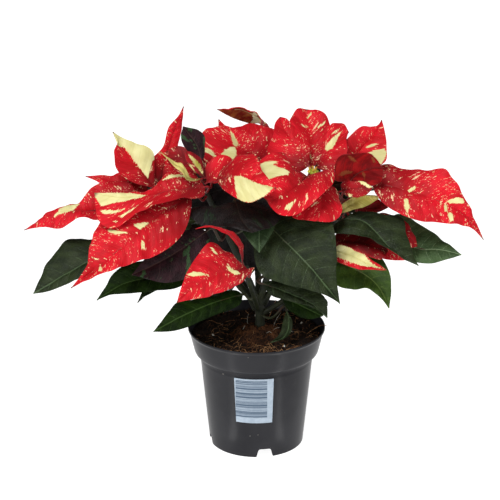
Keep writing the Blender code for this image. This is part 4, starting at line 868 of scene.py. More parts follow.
def blade_piece(name, form, start, surfaces, traits):
    """One leaf or bract: a grid bent to its outline, given its thickness, with its stalk."""
    upper, under, stalk_surface = surfaces
    length = curve_length(form["rib"])
    reach = max(np.abs(middle_surface(form, np.linspace(0, 1, 9), np.array((-1.0, 1.0)))[1]).max(), 4.0)
    rows = int(min(ROWS[1], max(ROWS[0], length / FACE_SIZE)))
    columns = 2 * int(min(HALF_COLUMNS[1], max(HALF_COLUMNS[0], reach / FACE_SIZE)))
    bpy.ops.mesh.primitive_grid_add(x_subdivisions=columns, y_subdivisions=rows, size=2.0)
    blade = bpy.context.object
    blade.name = name
    mesh = blade.data
    flat = np.zeros(len(mesh.vertices) * 3)
    mesh.vertices.foreach_get("co", flat)
    flat = flat.reshape(-1, 3).round(5)
    across, column = np.unique(flat[:, 0], return_inverse=True)
    steps, row = np.unique(flat[:, 1], return_inverse=True)
    stations = (steps + 1) / 2
    grid, distance = middle_surface(form, stations, across)
    veins = vein_lines(length, stations, across, distance)
    height = relief(form, length, stations, across, distance, veins, traits)
    grid = grid + row_normals(grid) * height[:, :, None]
    mesh.vertices.foreach_set("co", (grid[row, column] * METRES_PER_MM).ravel())
    cream = np.full(distance.shape, -PATCH_REACH)
    for outline in traits["cream"]:
        cream = np.maximum(cream, patch_distance(outline, length, stations, across, distance))
    cream = np.minimum(cream, PATCH_REACH)
    everywhere = np.ones(distance.shape)
    lines = (distance, veins, traits["seed"] * everywhere)
    marks = (cream, traits["fleck"] * everywhere, stations[:, None] * everywhere)
    for label, values in (("veins", lines), ("marks", marks)):
        held = mesh.attributes.new(label, "FLOAT_VECTOR", "POINT")
        held.data.foreach_set("vector", np.stack(values, axis=2)[row, column].astype(np.float32).ravel())
    mesh.materials.append(upper)
    mesh.materials.append(under)
    mesh.update()
    bpy.ops.object.modifier_add(type="SOLIDIFY")
    shell = blade.modifiers[-1]
    shell.thickness = traits["thickness"] * METRES_PER_MM
    shell.offset = 0.0
    shell.material_offset = 1
    shell.material_offset_rim = 0
    bpy.ops.object.modifier_apply(modifier=shell.name)
    bpy.ops.object.shade_smooth_by_angle(angle=math.radians(BLADE_SMOOTH_ANGLE))
    stalk = tube_piece(name + "_stalk", [stalk_rings(form, start, grid, stations, traits)], stalk_surface)
    return join([blade, stalk], name)


def join(pieces, name):
    """Join the pieces into the first of them, under the name."""
    choose(*pieces)
    bpy.ops.object.join()
    pieces[0].name = name
    pieces[0].data.name = name
    return pieces[0]


def copies_of(patterns, count):
    """Copies with their own meshes, the patterns taken in turn."""
    copies = []
    for k in range(count):
        pattern = patterns[k % len(patterns)]
        copy = pattern.copy()
        copy.data = pattern.data.copy()
        bpy.context.scene.collection.objects.link(copy)
        copies.append(copy)
    return copies


def settle(pieces):
    """Write the place, turn and size of each piece into its mesh."""
    choose(*pieces)
    bpy.ops.object.transform_apply(location=True, rotation=True, scale=True)


def place_piece(piece, slot, *nodes):
    """Every finished piece rides on the one body and stands for its solid."""
    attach(piece, "root")
    if nodes:
        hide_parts(*nodes)
    deselect_all()


def srgb(red, green, blue):
    """A colour as it looks, 0 to 255, as the linear colour a shader takes."""
    return tuple(((c / 255 + 0.055) / 1.055) ** 2.4 if c > 10 else c / 3294.6 for c in (red, green, blue))


class Value:
    """A number, a place or a colour on its way between the nodes of a finish."""

    def __init__(self, made, socket):
        self.made = made
        self.socket = socket

    def maths(self, operation, *others):
        return self.made.maths(operation, self, *others)

    def __add__(self, other):
        return self.maths("ADD", other)

    def __sub__(self, other):
        return self.maths("SUBTRACT", other)

    def __rsub__(self, other):
        return self.made.maths("SUBTRACT", other, self)

    def __mul__(self, other):
        return self.maths("MULTIPLY", other)

    def __truediv__(self, other):
        return self.maths("DIVIDE", other)

    def __pow__(self, other):
        return self.maths("POWER", other)

    def __abs__(self):
        return self.maths("ABSOLUTE")

    __radd__ = __add__

    def fraction(self):
        return self.maths("FRACT")

    def below(self, level):
        return self.maths("LESS_THAN", level)

    def above(self, level):
        return self.maths("GREATER_THAN", level)

    def most(self, other):
        return self.maths("MAXIMUM", other)

    def ease(self, low, high):
        """0 below low, 1 above high, smooth between."""
        node = self.made.add("MapRange", interpolation_type="SMOOTHSTEP")
        for label, given in (("Value", self), ("From Min", low), ("From Max", high)):
            self.made.feed(node.inputs[label], given)
        return self.made.value(node, "Result")

    def fade(self, low, high):
        """1 below low, 0 above high, smooth between."""
        return 1.0 - self.ease(low, high)


class Finish:
    """One procedural material while its nodes are put together."""

    def __init__(self, name, colour, roughness, specular, **sockets):
        self.surface = bpy.data.materials.new(name)
        self.surface.use_nodes = True
        self.tree = self.surface.node_tree
        self.shader = self.tree.nodes["Principled BSDF"]
        self.shader.inputs["Base Color"].default_value = (*colour, 1.0)
        self.shader.inputs["Roughness"].default_value = roughness
        self.shader.inputs["Specular IOR Level"].default_value = specular
        for label, value in sockets.items():
            self.shader.inputs[label.replace("_", " ")].default_value = value

    def add(self, kind, **settings):
        node = self.tree.nodes.new("ShaderNode" + kind)
        for label, value in settings.items():
            setattr(node, label, value)
        return node

    def feed(self, socket, value):
        if isinstance(value, Value):
            self.tree.links.new(value.socket, socket)
        elif isinstance(value, tuple) and socket.type == "RGBA":
            socket.default_value = (*value, 1.0)
        else:
            socket.default_value = value

    def value(self, node, label=0):
        return Value(self, node.outputs[label])

    def maths(self, operation, *values):
        node = self.add("Math", operation=operation)
        for socket, value in zip(node.inputs, values):
            self.feed(socket, value)
        return self.value(node)

    def mix(self, share, below, above):
        node = self.add("Mix", data_type="RGBA")
        for place, given in ((0, share), (6, below), (7, above)):
            self.feed(node.inputs[place], given)
        return self.value(node, 2)

    def combine(self, x, y, z=0.0):
        node = self.add("CombineXYZ")
        for socket, value in zip(node.inputs, (x, y, z)):
            self.feed(socket, value)
        return self.value(node)

    def separate(self, vector):
        node = self.add("SeparateXYZ")
        self.feed(node.inputs[0], vector)
        return [self.value(node, axis) for axis in range(3)]

    def held(self, label):
        """The three numbers that each point of a leaf holds under a name."""
        node = self.add("Attribute", attribute_name=label, attribute_type="GEOMETRY")
        return self.separate(self.value(node, "Vector"))

    def place(self):
        return self.value(self.add("TexCoord"), "Object")

    def noise(self, vector, scale, detail=3.0, rough=0.55, dims="3D"):
        node = self.add("TexNoise", noise_dimensions=dims)
        self.feed(node.inputs["Vector"], vector)
        for label, given in (("Scale", scale), ("Detail", detail), ("Roughness", rough)):
            node.inputs[label].default_value = given
        return self.value(node)

    def flat_noise(self, vector, scale, detail=3.0, rough=0.6):
        return self.noise(vector, scale, detail, rough, "2D")

    def cells(self, vector, scale, dims="3D", feature="F1"):
        node = self.add("TexVoronoi", voronoi_dimensions=dims, feature=feature)
        self.feed(node.inputs["Vector"], vector)
        node.inputs["Scale"].default_value = scale
        return node

    def net(self, vector, scale):
        """Distance to the nearest border between flat cells."""
        return self.value(self.cells(vector, scale, "2D", "DISTANCE_TO_EDGE"), "Distance")

    def bump(self, height, distance, strength, under=None):
        """Relief of the given height in metres, over an earlier relief if there is one."""
        node = self.add("Bump")
        node.inputs["Strength"].default_value = strength
        node.inputs["Distance"].default_value = distance
        self.feed(node.inputs["Height"], height)
        if under is not None:
            self.feed(node.inputs["Normal"], under)
        return self.value(node, "Normal")

    def wear(self, colour=None, roughness=None, normal=None):
        for label, value in (("Base Color", colour), ("Roughness", roughness), ("Normal", normal)):
            if value is not None:
                self.feed(self.shader.inputs[label], value)
        return self.surface


def vein_gap(off, start, pitch):
    """Distance, in millimetres, to the nearest side vein; the veins of the two halves are staggered.

    The point lies off the rib, and a vein through it would have its start there along the rib.
    """
    turn = start / pitch + off.below(0.0) * 0.5
    return abs((turn + 0.5).fraction() - 0.5) * pitch


def leaf_finish(name, deep, lit, vein, blotch, shine):
    """Upper face of a leaf: mottled green, pale fine veins, a soft gloss."""
    made = Finish(name, deep, 0.48, shine)
    off, start, seed = made.held("veins")
    flat = made.combine(off + seed * 80.0, start)
    grain = made.flat_noise(flat, 0.8)
    net = made.net(flat, 0.42)
    colour = made.mix(made.flat_noise(flat, 0.09, 4.0).ease(0.32, 0.68), deep, lit)
    if blotch:
        spots = made.flat_noise(flat, 0.075, 5.0, 0.62).ease(0.6, 0.63)
        colour = made.mix(spots, colour, blotch)
    colour = made.mix(net.fade(0.0, 0.1) * 0.07, colour, vein)
    side_width = (0.3 - abs(off) * 0.012).most(0.06)
    side_vein = (vein_gap(off, start, LEAF_BUILD["vein_pitch"]) - side_width).fade(-0.1, 0.25)
    broken = made.flat_noise(flat, 0.35).ease(0.38, 0.62)
    colour = made.mix(side_vein * broken * 0.34, colour, vein)
    colour = made.mix(abs(off).fade(0.3, 0.8) * 0.5, colour, vein)
    height = grain * 0.5 + net.ease(0.0, 0.3)
    return made.wear(colour, 0.4 + grain * 0.2, made.bump(height, BLADE_GRAIN, 0.8))


def under_finish(name, deep, lit, vein, pitch, cream, fray):
    """Under face of a leaf or bract: duller, and kept dark as painted shade, its veins standing out, with the
    upper face's patches.
    """
    made = Finish(name, lit, 0.66, 0.12)
    off, start, seed = made.held("veins")
    flat = made.combine(off + seed * 70.0, start)
    colour = made.mix(made.flat_noise(flat, 0.12, 4.0).ease(0.35, 0.68), deep, lit)
    side_vein = vein_gap(off, start, pitch).fade(0.15, 0.65)
    line = (side_vein * 0.6).most(abs(off).fade(0.5, 1.1))
    colour = made.mix(line * 0.75, colour, vein)
    if cream:
        edge = made.held("marks")[0]
        ragged = (made.flat_noise(flat, 0.5, 4.0, 0.65) - 0.5) * fray
        pale = made.mix(line * 0.2, cream, vein)
        colour = made.mix((edge + ragged).ease(-0.25, 0.25), colour, pale)
    height = line + made.net(flat, 0.45).ease(0.0, 0.2) * -0.3
    return made.wear(colour, None, made.bump(height, 0.0003, 0.8))


def fleck_marks(made, across, down, crowding):
    """Pale flecks of three sizes, drawn out along the side veins."""
    shove = made.flat_noise(made.combine(across, down), 0.55, 2.0)
    marks = None
    for long_side, short_side, size, usual, shift in FLECK_SIZES:
        off_across = (across + shift + shove * 4.0) / long_side
        off_down = (down + shift - shove * 2.2) / short_side
        cell = made.cells(made.combine(off_across, off_down), 1.0, "2D")
        big, chance, _ = made.separate(made.value(cell, "Color"))
        radius = 0.08 + (big ** 2.6) * size
        spot = (radius - made.value(cell, "Distance")).ease(-0.02, 0.07) * chance.below(crowding * usual)
        marks = spot if marks is None else marks.most(spot)
    return marks


def bract_finish(name, deep, lit, cream, fleck, density):
    """Upper face of a bract: red, with painted shade towards its root, splashed with pale streaks along the
    side veins.
    """
    made = Finish(name, lit, 0.55, 0.16, Sheen_Weight=0.05, Sheen_Roughness=0.5)
    off, start, seed = made.held("veins")
    edge, crowd, share = made.held("marks")
    across, down = off + seed * 137.0, start + seed * 53.0
    flat = made.combine(across, down)
    streaked = made.combine(across * 0.13, down * 0.85)
    streak = made.flat_noise(streaked, 1.0, 4.0, 0.65)
    cloud = made.flat_noise(flat, 0.055, 3.0, 0.55)
    grain = made.flat_noise(flat, 0.9)
    side_vein = vein_gap(off, start, BRACT_BUILD["vein_pitch"]).fade(0.1, 0.9)
    line = (side_vein * 0.55).most(abs(off).fade(0.3, 1.1))
    colour = made.mix((cloud * 0.6 + streak * 0.4).ease(0.36, 0.62), deep, lit)
    colour = made.mix(line * 0.4, colour, deep)
    # Painted shade: towards its root the red is darkened, standing in for the shade among the crowded bracts
    painted_throat_shade = tuple(0.22 * part for part in deep)
    colour = made.mix(share.fade(0.0, 0.54) * 0.8, colour, painted_throat_shade)
    flecks = fleck_marks(made, across, down, crowd * density * (0.18 + cloud.ease(0.42, 0.6) * 1.25))
    colour = made.mix(flecks * 0.88, colour, made.mix(grain.ease(0.4, 0.6), fleck, cream))
    stray = made.flat_noise(streaked, 2.3).ease(0.7, 0.76)
    pale = made.mix(cloud.ease(0.35, 0.65), cream, srgb(214, 206, 142))
    pale = made.mix(stray * 0.5, pale, lit)
    pale = made.mix(line * 0.22, pale, srgb(176, 168, 92))
    colour = made.mix((edge + (streak - 0.5) * 3.4).ease(-0.22, 0.22), colour, pale)
    colour = made.mix(share.ease(0.955, 0.995) * 0.85, colour, srgb(92, 44, 26))
    height = grain * 0.6 + streak * 0.6
    return made.wear(colour, 0.44 + grain * 0.2, made.bump(height, BLADE_GRAIN, 0.75))


def bark_finish(name, deep, lit, scar):
    """Young bark: mottled, with small pale pores."""
    made = Finish(name, deep, 0.6, 0.35)
    here = made.place()
    colour = made.mix(made.noise(here, 90.0, 4.0).ease(0.35, 0.65), deep, lit)
    pores = made.value(made.cells(here, 420.0), "Distance").fade(0.1, 0.22)
    colour = made.mix(pores * 0.5, colour, scar)
    return made.wear(colour, None, made.bump(made.noise(here, 900.0), 0.0002, 0.7))


def stalk_finish(name, deep, lit):
    """Smooth young growth: stalks, cups and what is in them."""
    made = Finish(name, deep, 0.45, 0.4)
    here = made.place()
    colour = made.mix(made.noise(here, 60.0).ease(0.35, 0.65), deep, lit)
    return made.wear(colour, None, made.bump(made.noise(here, 1200.0, 2.0), 0.00008, 0.7))


def earth_finish(name, deep, lit, scale, distance):
    """Loose dry stuff: compost, crumbs, grains, coir and threads."""
    made = Finish(name, deep, 0.92, 0.2)
    here = made.place()
    colour = made.mix(made.noise(here, scale * 0.35, 4.0).ease(0.38, 0.66), deep, lit)
    return made.wear(colour, None, made.bump(made.noise(here, scale, 5.0, 0.65), distance, 1.0))


def pot_finish():
    """Thin dark grey moulded plastic with a satin surface, faint flow marks and a few specks of soil."""
    made = Finish("pot_plastic_satin", srgb(31, 31, 34), 0.36, 0.13)
    here = made.place()
    x, y, z = made.separate(here)
    cloud = made.noise(here, 22.0)
    grain = made.noise(here, 1500.0, 2.0)
    drawn = made.noise(made.combine(x * 60.0, y * 60.0, z * 9.0), 1.0, 2.0)
    wobble = made.noise(here, 900.0, 2.0) * 0.0006
    dust = made.noise(here, 130.0, 5.0, 0.7).ease(0.62, 0.78)
    colour = made.mix(cloud.ease(0.35, 0.65), srgb(38, 38, 41), srgb(45, 45, 48))
    colour = made.mix(dust * 0.1, colour, srgb(110, 102, 96))
    for spot, size in POT_SPECKS:
        away = made.add("VectorMath", operation="DISTANCE")
        made.feed(away.inputs[0], here)
        away.inputs[1].default_value = spot
        near = (made.value(away, "Value") + wobble).ease(size * 0.8, size * 1.25)
        colour = made.mix(near, srgb(138, 134, 128), colour)
    # The step below the rim band turns up to the lamps and is dulled
    step = z.ease(*STEP_FROM_BELOW) * z.ease(*STEP_FROM_ABOVE)
    made.feed(made.shader.inputs["Specular IOR Level"], POT_GLOSS - step * STEP_LOSS)
    normal = made.bump(drawn, 0.0003, 0.25, made.bump(grain, 0.00004, 0.5))
    return made.wear(colour, 0.25 + (cloud * 0.08 + dust * 0.15), normal)


def label_finish():
    """Pale blue-grey paper with plain printed bars across its left part."""
    made = Finish("label_paper_printed", srgb(154, 165, 181), 0.42, 0.3)
    here = made.place()
    x, _, z = made.separate(here)
    height = z * 1000.0
    foot, top = FIELD_HEIGHT
    left, right = FIELD_SIDES
    field = height.below(top) * height.above(foot) * x.below(right) * x.above(left)
    paper = made.mix(made.noise(here, 300.0, 4.0).ease(0.35, 0.65), srgb(152, 166, 180), srgb(164, 177, 190))
    paper = made.mix(field * 0.34, paper, srgb(96, 112, 130))
    for pitch, shift, share, strength in LABEL_BARS:
        bar = ((height + shift) / pitch).fraction().below(share) * field
        paper = made.mix(bar * strength, paper, srgb(58, 78, 98))
    return made.wear(paper, None, made.bump(made.noise(here, 2500.0, 2.0), 0.00003, 0.6))


def fan_blade(name, centre, bearing, reach, width, rise, drop):
    """A blade by rule: it leaves the centre on a bearing, arches by rise and ends lower by drop."""
    turn = math.radians(bearing)
    out = np.array([math.cos(turn), math.sin(turn), 0.0])
    side = np.array([math.sin(turn), -math.cos(turn), 0.0])
    up = np.array([0.0, 0.0, 1.0])

    def at(fraction, across):
        arch = rise * math.sin(math.pi * min(1.0, fraction * 0.9)) - drop * fraction**2
        return tuple(centre + out * reach * fraction + up * arch + side * across * width / 2)

    rib = tuple(at(share, 0.0) for share in FAN_RIB)
    left, right = (tuple(at(share, hand * half) for share, half in FAN_EDGE) for hand in (-1, 1))
    return blade(name, None, 0.0, rib, left, right, small=True, phase=bearing)


def traits_of(form, leafy):
    """Vein spacing, relief and marks of one blade."""
    traits = dict(LEAF_BUILD if leafy else BRACT_BUILD)
    if form["small"]:
        traits["quilt"] *= SMALL_QUILT
        traits["stalk"] *= SMALL_STALK
    traits["seed"] = seed_of(form["name"] + str(form["rib"][-1]))
    traits["cream"] = [[(across / 100, on / 100) for across, on in outline]
                       for outline in CREAM.get(form["name"], ())]
    traits["fleck"] = FLECKS.get(form["name"], USUAL_FLECKS)
    return traits


def make_near_blades(finishes):
    """Every leaf and bract of the near side, in the place of its solid."""
    for form in BLADES:
        node = form["name"]
        leafy = node.startswith("leaf")
        look, slot = LOOKS.get(node, ("leaf", "leaf_green") if leafy else ("bract", "bract_red"))
        piece = blade_piece(node + "_blade", form, shoot_start(form), finishes[look], traits_of(form, leafy))
        place_piece(piece, slot, node)


def rear_patches(k):
    """Two slanting cream patches for the bracts of the far side, placed by their count."""
    patches = []
    for hand, low, size in ((1, 0.3 + 0.11 * (k % 3), 0.2 - 0.04 * (k % 2)),
                            (-1, 0.62 - 0.12 * (k % 4), 0.12)):
        patches.append(((0.25 * hand, low), (0.62 * hand, low + 0.02), (0.95 * hand, low + size),
                        (0.8 * hand, low + 1.2 * size), (0.4 * hand, low + 0.6 * size)))
    return patches


def make_rear_growth(finishes):
    """The far side: two leafy shoots with their heads of bracts."""
    for name, points in REAR_SHOOTS.items():
        shoot = shoot_line(points, REAR_FOOT_RADIUS, REAR_TOP_RADIUS)
        pieces = [tube_piece("rear_bark", [shoot], finishes["bark"])]
        for k, (height, bearing, reach, width, drop) in enumerate(REAR_LEAVES[name]):
            centre = along(points, (height,))[0]
            form = fan_blade(f"{name}_leaf_{k}", centre, bearing, reach, width, LEAF_ARCH, drop)
            start = (centre, unit(np.array(form["rib"][0]) - centre))
            pieces.append(blade_piece("rear_leaf", form, start, finishes["leaf"], traits_of(form, True)))
        place_piece(join(pieces, f"shoot_{name}_leafy"), "leaf_green", f"shoot_{name}")
        x, y, z = along(points, (1.0,))[0] + np.array((0.0, 0.0, COLLAR_LIFT))
        bearings = REAR_BRACTS[name]
        collar = [((x, y, z + rise), radius)
                  for rise, radius in ((0, 2.2), (3, 2.9), (3 + HEAD_PITCH * len(bearings), 2.2))]
        pieces = [tube_piece("collar", [collar], finishes["bark"])]
        for k, (bearing, reach, width, drop) in enumerate(bearings):
            centre = np.array((x, y, z + HEAD_LOWEST + HEAD_PITCH * k))
            form = fan_blade(f"{name}_bract_{k}", centre, bearing, reach, width, BRACT_ARCH, drop)
            lead = unit(np.array(form["rib"][0]) - centre)
            start = (centre + HEAD_CORE * lead, lead)
            traits = {**traits_of(form, False), "cream": rear_patches(k)}
            pieces.append(blade_piece("rear_bract", form, start, finishes["bract"], traits))
        place_piece(join(pieces, f"bracts_{name}_head"), "bract_red", f"bracts_{name}")


def shoot_line(points, foot, top):
    """A shoot with the slight swellings of its leaf scars, tapering, as (point, radius)."""
    length = curve_length(points)
    shares = np.linspace(0.0, 1.0, SHOOT_RINGS)
    line = []
    for share, place in zip(shares, along(points, shares)):
        ring = math.exp(-(((share * length) % SCAR_PITCH - SCAR_PITCH / 2) / SCAR_WIDTH) ** 2)
        line.append((place, (foot + (top - foot) * share) * (1.0 + SCAR_SWELL * ring)))
    return line


def make_stems(finishes):
    """The stem and its near shoots, grown in one piece."""
    lines = [shoot_line(*shoot) for shoot in SHOOTS.values()]
    piece = tube_piece("stems_bark", lines, finishes["bark"], bevel=5)
    bpy.ops.object.shade_smooth()
    place_piece(piece, "stem_bark", "stems")


def stamen_line(k):
    """One stamen of a cup with its swollen tip, as (point, radius)."""
    turn = 2 * math.pi * k / STAMENS + 0.3
    out = 0.45 + 0.25 * (k % 2)
    top = 3.6 + 0.3 * (k % 3)
    return [((away * math.cos(turn), away * math.sin(turn), height), radius)
            for away, height, radius in ((0.3, 1.2, 0.14), (out, 2.9, 0.12), (1.2 * out, top, 0.3),
                                         (1.25 * out, top + 0.3, 0.08))]


def make_cup(finishes):
    """One flower cup: a ribbed green jar with a toothed mouth, a yellow lip at its side and stamens."""
    bpy.ops.mesh.primitive_uv_sphere_add(segments=15, ring_count=10, radius=1.0)
    cup = bpy.context.object
    cup.scale = [size * METRES_PER_MM for size in (CUP_RADIUS, CUP_RADIUS, CUP_HALF_HEIGHT)]
    bpy.ops.object.transform_apply(location=False, rotation=False, scale=True)
    bpy.ops.object.mode_set(mode="EDIT")
    bpy.ops.mesh.select_mode(type="FACE")
    bpy.ops.mesh.select_all(action="DESELECT")
    bpy.ops.object.mode_set(mode="OBJECT")
    for polygon in cup.data.polygons:
        polygon.select = polygon.center.z > MOUTH_HEIGHT * METRES_PER_MM
    bpy.ops.object.mode_set(mode="EDIT")
    for thickness, depth in MOUTH_STEPS:
        bpy.ops.mesh.inset(thickness=thickness * METRES_PER_MM, depth=depth * METRES_PER_MM)
    bpy.ops.object.mode_set(mode="OBJECT")
    for vert in cup.data.vertices:
        swell = 1.0 + RIB_SWELL * math.cos(CUP_RIBS * math.atan2(vert.co.y, vert.co.x))
        vert.co.x *= swell
        vert.co.y *= swell
    cup.data.materials.append(finishes["cup"])
    bpy.ops.object.shade_smooth()
    bpy.ops.mesh.primitive_torus_add(major_radius=LIP_RADIUS * METRES_PER_MM, major_segments=14,
                                     minor_radius=LIP_THICKNESS * METRES_PER_MM, minor_segments=7)
    lip = bpy.context.object
    lip.scale = LIP_STRETCH
    lip.rotation_euler = (math.radians(LIP_TILT), 0.0, math.radians(90))
    lip.location = (CUP_RADIUS * METRES_PER_MM, 0.0, LIP_HEIGHT * METRES_PER_MM)
    settle([lip])
    lip.data.materials.append(finishes["gland"])
    bpy.ops.object.shade_smooth()
    lines = [stamen_line(k) for k in range(STAMENS)]
    stamens = tube_piece("stamens", lines, finishes["stamen"], bevel=1)
    return join([cup, lip, stamens], "cup_pattern")


def make_cyathia(finishes):
    """A cluster of cups on the end of each open head, copied from one cup: one amid a ring."""
    pattern = make_cup(finishes)
    for name in CYATHIA_SHOOTS:
        low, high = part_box("cyathia_" + name)
        x, y, foot = (edge / METRES_PER_MM for edge in ((low.x + high.x) / 2, (low.y + high.y) / 2, low.z))
        copies = copies_of([pattern], CUPS)
        for k, copy in enumerate(copies):
            turn = 2 * math.pi * k / (CUPS - 1) + 0.4
            reach, tilt, lift = RING_CUP if k else MIDDLE_CUP
            copy.rotation_euler = (-tilt * math.sin(turn), tilt * math.cos(turn), turn + 2.2 * k)
            place = (x + reach * math.cos(turn), y + reach * math.sin(turn),
                     foot + lift + CUP_STAGGER * (k % 2))
            copy.location = [c * METRES_PER_MM for c in place]
            copy.scale = [SMALL_CUP if k % 2 else 1.0] * 3
        settle(copies)
        rings = [((x, y, foot + rise), radius) for rise, radius in SEAT_RINGS]
        seat = tube_piece("seat", [rings], finishes["cup"])
        place_piece(join([*copies, seat], f"cyathia_{name}_cups"), "cyathium_yellow", "cyathia_" + name)
    bpy.data.objects.remove(pattern, do_unlink=True)


def disc_piece(name, cells, radius, middle_y, level, surface):
    """A square grid pushed out to a disc, each point lifted to level(x, y) in millimetres."""
    bpy.ops.mesh.primitive_grid_add(x_subdivisions=cells, y_subdivisions=cells, size=2.0)
    disc = bpy.context.object
    disc.name = name
    for vert in disc.data.vertices:
        u, v = vert.co.x, vert.co.y
        x = radius * u * math.sqrt(max(0.0, 1 - v * v / 2))
        y = radius * v * math.sqrt(max(0.0, 1 - u * u / 2)) + middle_y
        vert.co = (x * METRES_PER_MM, y * METRES_PER_MM, level(x, y) * METRES_PER_MM)
    disc.data.materials.append(surface)
    return disc


def draw_out(piece, steps):
    """Draw the open rim out through (scale, rise in millimetres) steps, close it and turn it outward."""
    choose(piece)
    bpy.ops.object.mode_set(mode="EDIT")
    bpy.ops.mesh.select_mode(type="EDGE")
    bpy.ops.mesh.select_all(action="DESELECT")
    bpy.ops.mesh.select_non_manifold(extend=False, use_wire=False, use_boundary=True,
                                     use_multi_face=False, use_non_contiguous=False, use_verts=False)
    for scale, rise in steps:
        bpy.ops.mesh.extrude_edges_move(TRANSFORM_OT_translate={"value": (0.0, 0.0, rise * METRES_PER_MM)})
        bpy.ops.transform.resize(value=(scale, scale, 1.0), center_override=(0.0, 0.0, 0.0))
    bpy.ops.mesh.edge_face_add()
    bpy.ops.mesh.select_all(action="SELECT")
    bpy.ops.mesh.normals_make_consistent(inside=False)
    bpy.ops.object.mode_set(mode="OBJECT")


def turned_piece(name, sides, profile, surface):
    """A closed body of revolution: a circle drawn out ring by ring along (radius, height)."""
    bpy.ops.mesh.primitive_circle_add(vertices=sides, radius=profile[0][0] * METRES_PER_MM, fill_type="NGON",
                                      location=(0.0, 0.0, profile[0][1] * METRES_PER_MM))
    body = bpy.context.object
    body.name = name
    draw_out(body, [(later[0] / here[0], later[1] - here[1]) for here, later in zip(profile, profile[1:])])
    settle([body])
    body.data.materials.append(surface)
    return body


def cut_away(piece, cutter):
    """Cut one body out of another and drop the cutter."""
    choose(piece)
    bpy.ops.object.modifier_add(type="BOOLEAN")
    cut = piece.modifiers[-1]
    cut.operation = "DIFFERENCE"
    cut.solver = "EXACT"
    cut.object = cutter
    bpy.ops.object.modifier_apply(modifier=cut.name)
    bpy.data.objects.remove(cutter, do_unlink=True)


def notch_wedge(turn):
    """The space of one notch in the foot ring: wider at the floor, its upper edges rounded."""
    bpy.ops.mesh.primitive_cube_add(size=1.0)
    wedge = bpy.context.object
    for vert in wedge.data.vertices:
        top = vert.co.z > 0
        place = (math.copysign(NOTCH_TOP_HALF if top else NOTCH_FOOT_HALF, vert.co.x),
                 -NOTCH_OUTSIDE if vert.co.y < 0 else -NOTCH_INSIDE, NOTCH_HEIGHT if top else -1.0)
        vert.co = [c * METRES_PER_MM for c in place]
    bpy.ops.object.mode_set(mode="EDIT")
    bpy.ops.mesh.select_mode(type="EDGE")
    bpy.ops.mesh.select_all(action="DESELECT")
    bpy.ops.object.mode_set(mode="OBJECT")
    for edge in wedge.data.edges:
        ends = [wedge.data.vertices[i].co for i in edge.vertices]
        edge.select = all(end.z > 0 for end in ends) and abs(ends[0].y - ends[1].y) > METRES_PER_MM
    bpy.ops.object.mode_set(mode="EDIT")
    bpy.ops.mesh.bevel(offset=NOTCH_ROUND * METRES_PER_MM, segments=4)
    bpy.ops.object.mode_set(mode="OBJECT")
    wedge.rotation_euler.z = math.radians(turn)
    settle([wedge])
    return wedge


def make_pot(surface):
    """The moulded pot: a smooth shell with a rim band, notches in its foot and drain holes."""
    pot = turned_piece("pot_shell", POT_SIDES, POT_PROFILE, surface)
    for k in range(NOTCHES):
        cut_away(pot, notch_wedge(NOTCH_TURN + 360.0 / NOTCHES * k))
    for k in range(DRAIN_HOLES):
        turn = 2 * math.pi * (k + 0.5) / DRAIN_HOLES
        place = (DRAIN_RING * math.cos(turn), DRAIN_RING * math.sin(turn), DRAIN_MIDDLE)
        bpy.ops.mesh.primitive_cylinder_add(vertices=28, radius=DRAIN_RADIUS * METRES_PER_MM,
                                            depth=DRAIN_DEPTH * METRES_PER_MM,
                                            location=[c * METRES_PER_MM for c in place])
        cut_away(pot, bpy.context.object)
    choose(pot)
    bpy.ops.object.shade_smooth_by_angle(angle=math.radians(POT_SMOOTH_ANGLE))
    place_piece(pot, "pot_plastic", "pot")


def soil_level(x, y):
    """Top of the compost: its slow unevenness with crumbs of several sizes over it."""
    radius = math.hypot(x, y)
    rough = math.sin(0.21 * x + 1.0) * math.cos(0.17 * y) + 0.5 * math.sin(0.37 * y - 0.29 * x)
    rough *= 1.3 * min(1.0, max(0.0, (radius - EVEN_RADIUS) / 6.0))
    for reach, rise in SURFACE_CRUMBS:
        rough += rise * abs(noise.noise((x / reach, y / reach, reach)))
    return SOIL_TOP + rough * min(1.0, max(0.0, (EDGE_RADIUS - radius) / 3.0))


def mound_level(x, y):
    """The fibre plug: a low heap, rough all over."""
    away = math.hypot(x, y - PLUG_Y)
    rise = PLUG_RISE * (1.0 - min(1.0, away / PLUG_SPREAD) ** 3.2)
    rough = 1.7 * noise.noise((x / 4.5, y / 4.5, 4.0)) + 0.9 * noise.noise((x / 1.9, y / 1.9, 9.0))
    return PLUG_TOP + rise + rough * min(1.0, rise / 2.0)


def ground_level(x, y):
    """Top of the compost or of the plug, whichever is higher."""
    return max(soil_level(x, y), mound_level(x, y) if math.hypot(x, y - PLUG_Y) < PLUG_LIMIT else 0.0)


def lump_pattern(seed, surface):
    """One rough lump of a few dozen faces."""
    bpy.ops.mesh.primitive_ico_sphere_add(subdivisions=2, radius=METRES_PER_MM)
    lump = bpy.context.object
    for vert in lump.data.vertices:
        vert.co *= 1.0 + 0.6 * noise.noise(vert.co * 900.0 + Vector((seed, 0.0, 0.0)))
    lump.data.materials.append(surface)
    return lump


def scatter(name, seeds, surface, places):
    """Lumps of a few patterns, joined: each at (point, size, turn)."""
    patterns = [lump_pattern(seed, surface) for seed in seeds]
    copies = copies_of(patterns, len(places))
    for copy, (place, size, turn) in zip(copies, places):
        copy.location = [c * METRES_PER_MM for c in place]
        copy.rotation_euler = (turn, 1.7 * turn, 2.9 * turn)
        copy.scale = (size, size * 0.85, size * 0.7)
    settle(copies)
    place_piece(join(copies, name), "compost")
    for pattern in patterns:
        bpy.data.objects.remove(pattern, do_unlink=True)


def drawn_point(rng, radius, least):
    """A random point of a disc, none nearer to its middle than the root of the least share."""
    turn, away = rng.uniform(0, 2 * math.pi), radius * math.sqrt(rng.uniform(least, 1.0))
    return away * math.cos(turn), away * math.sin(turn)


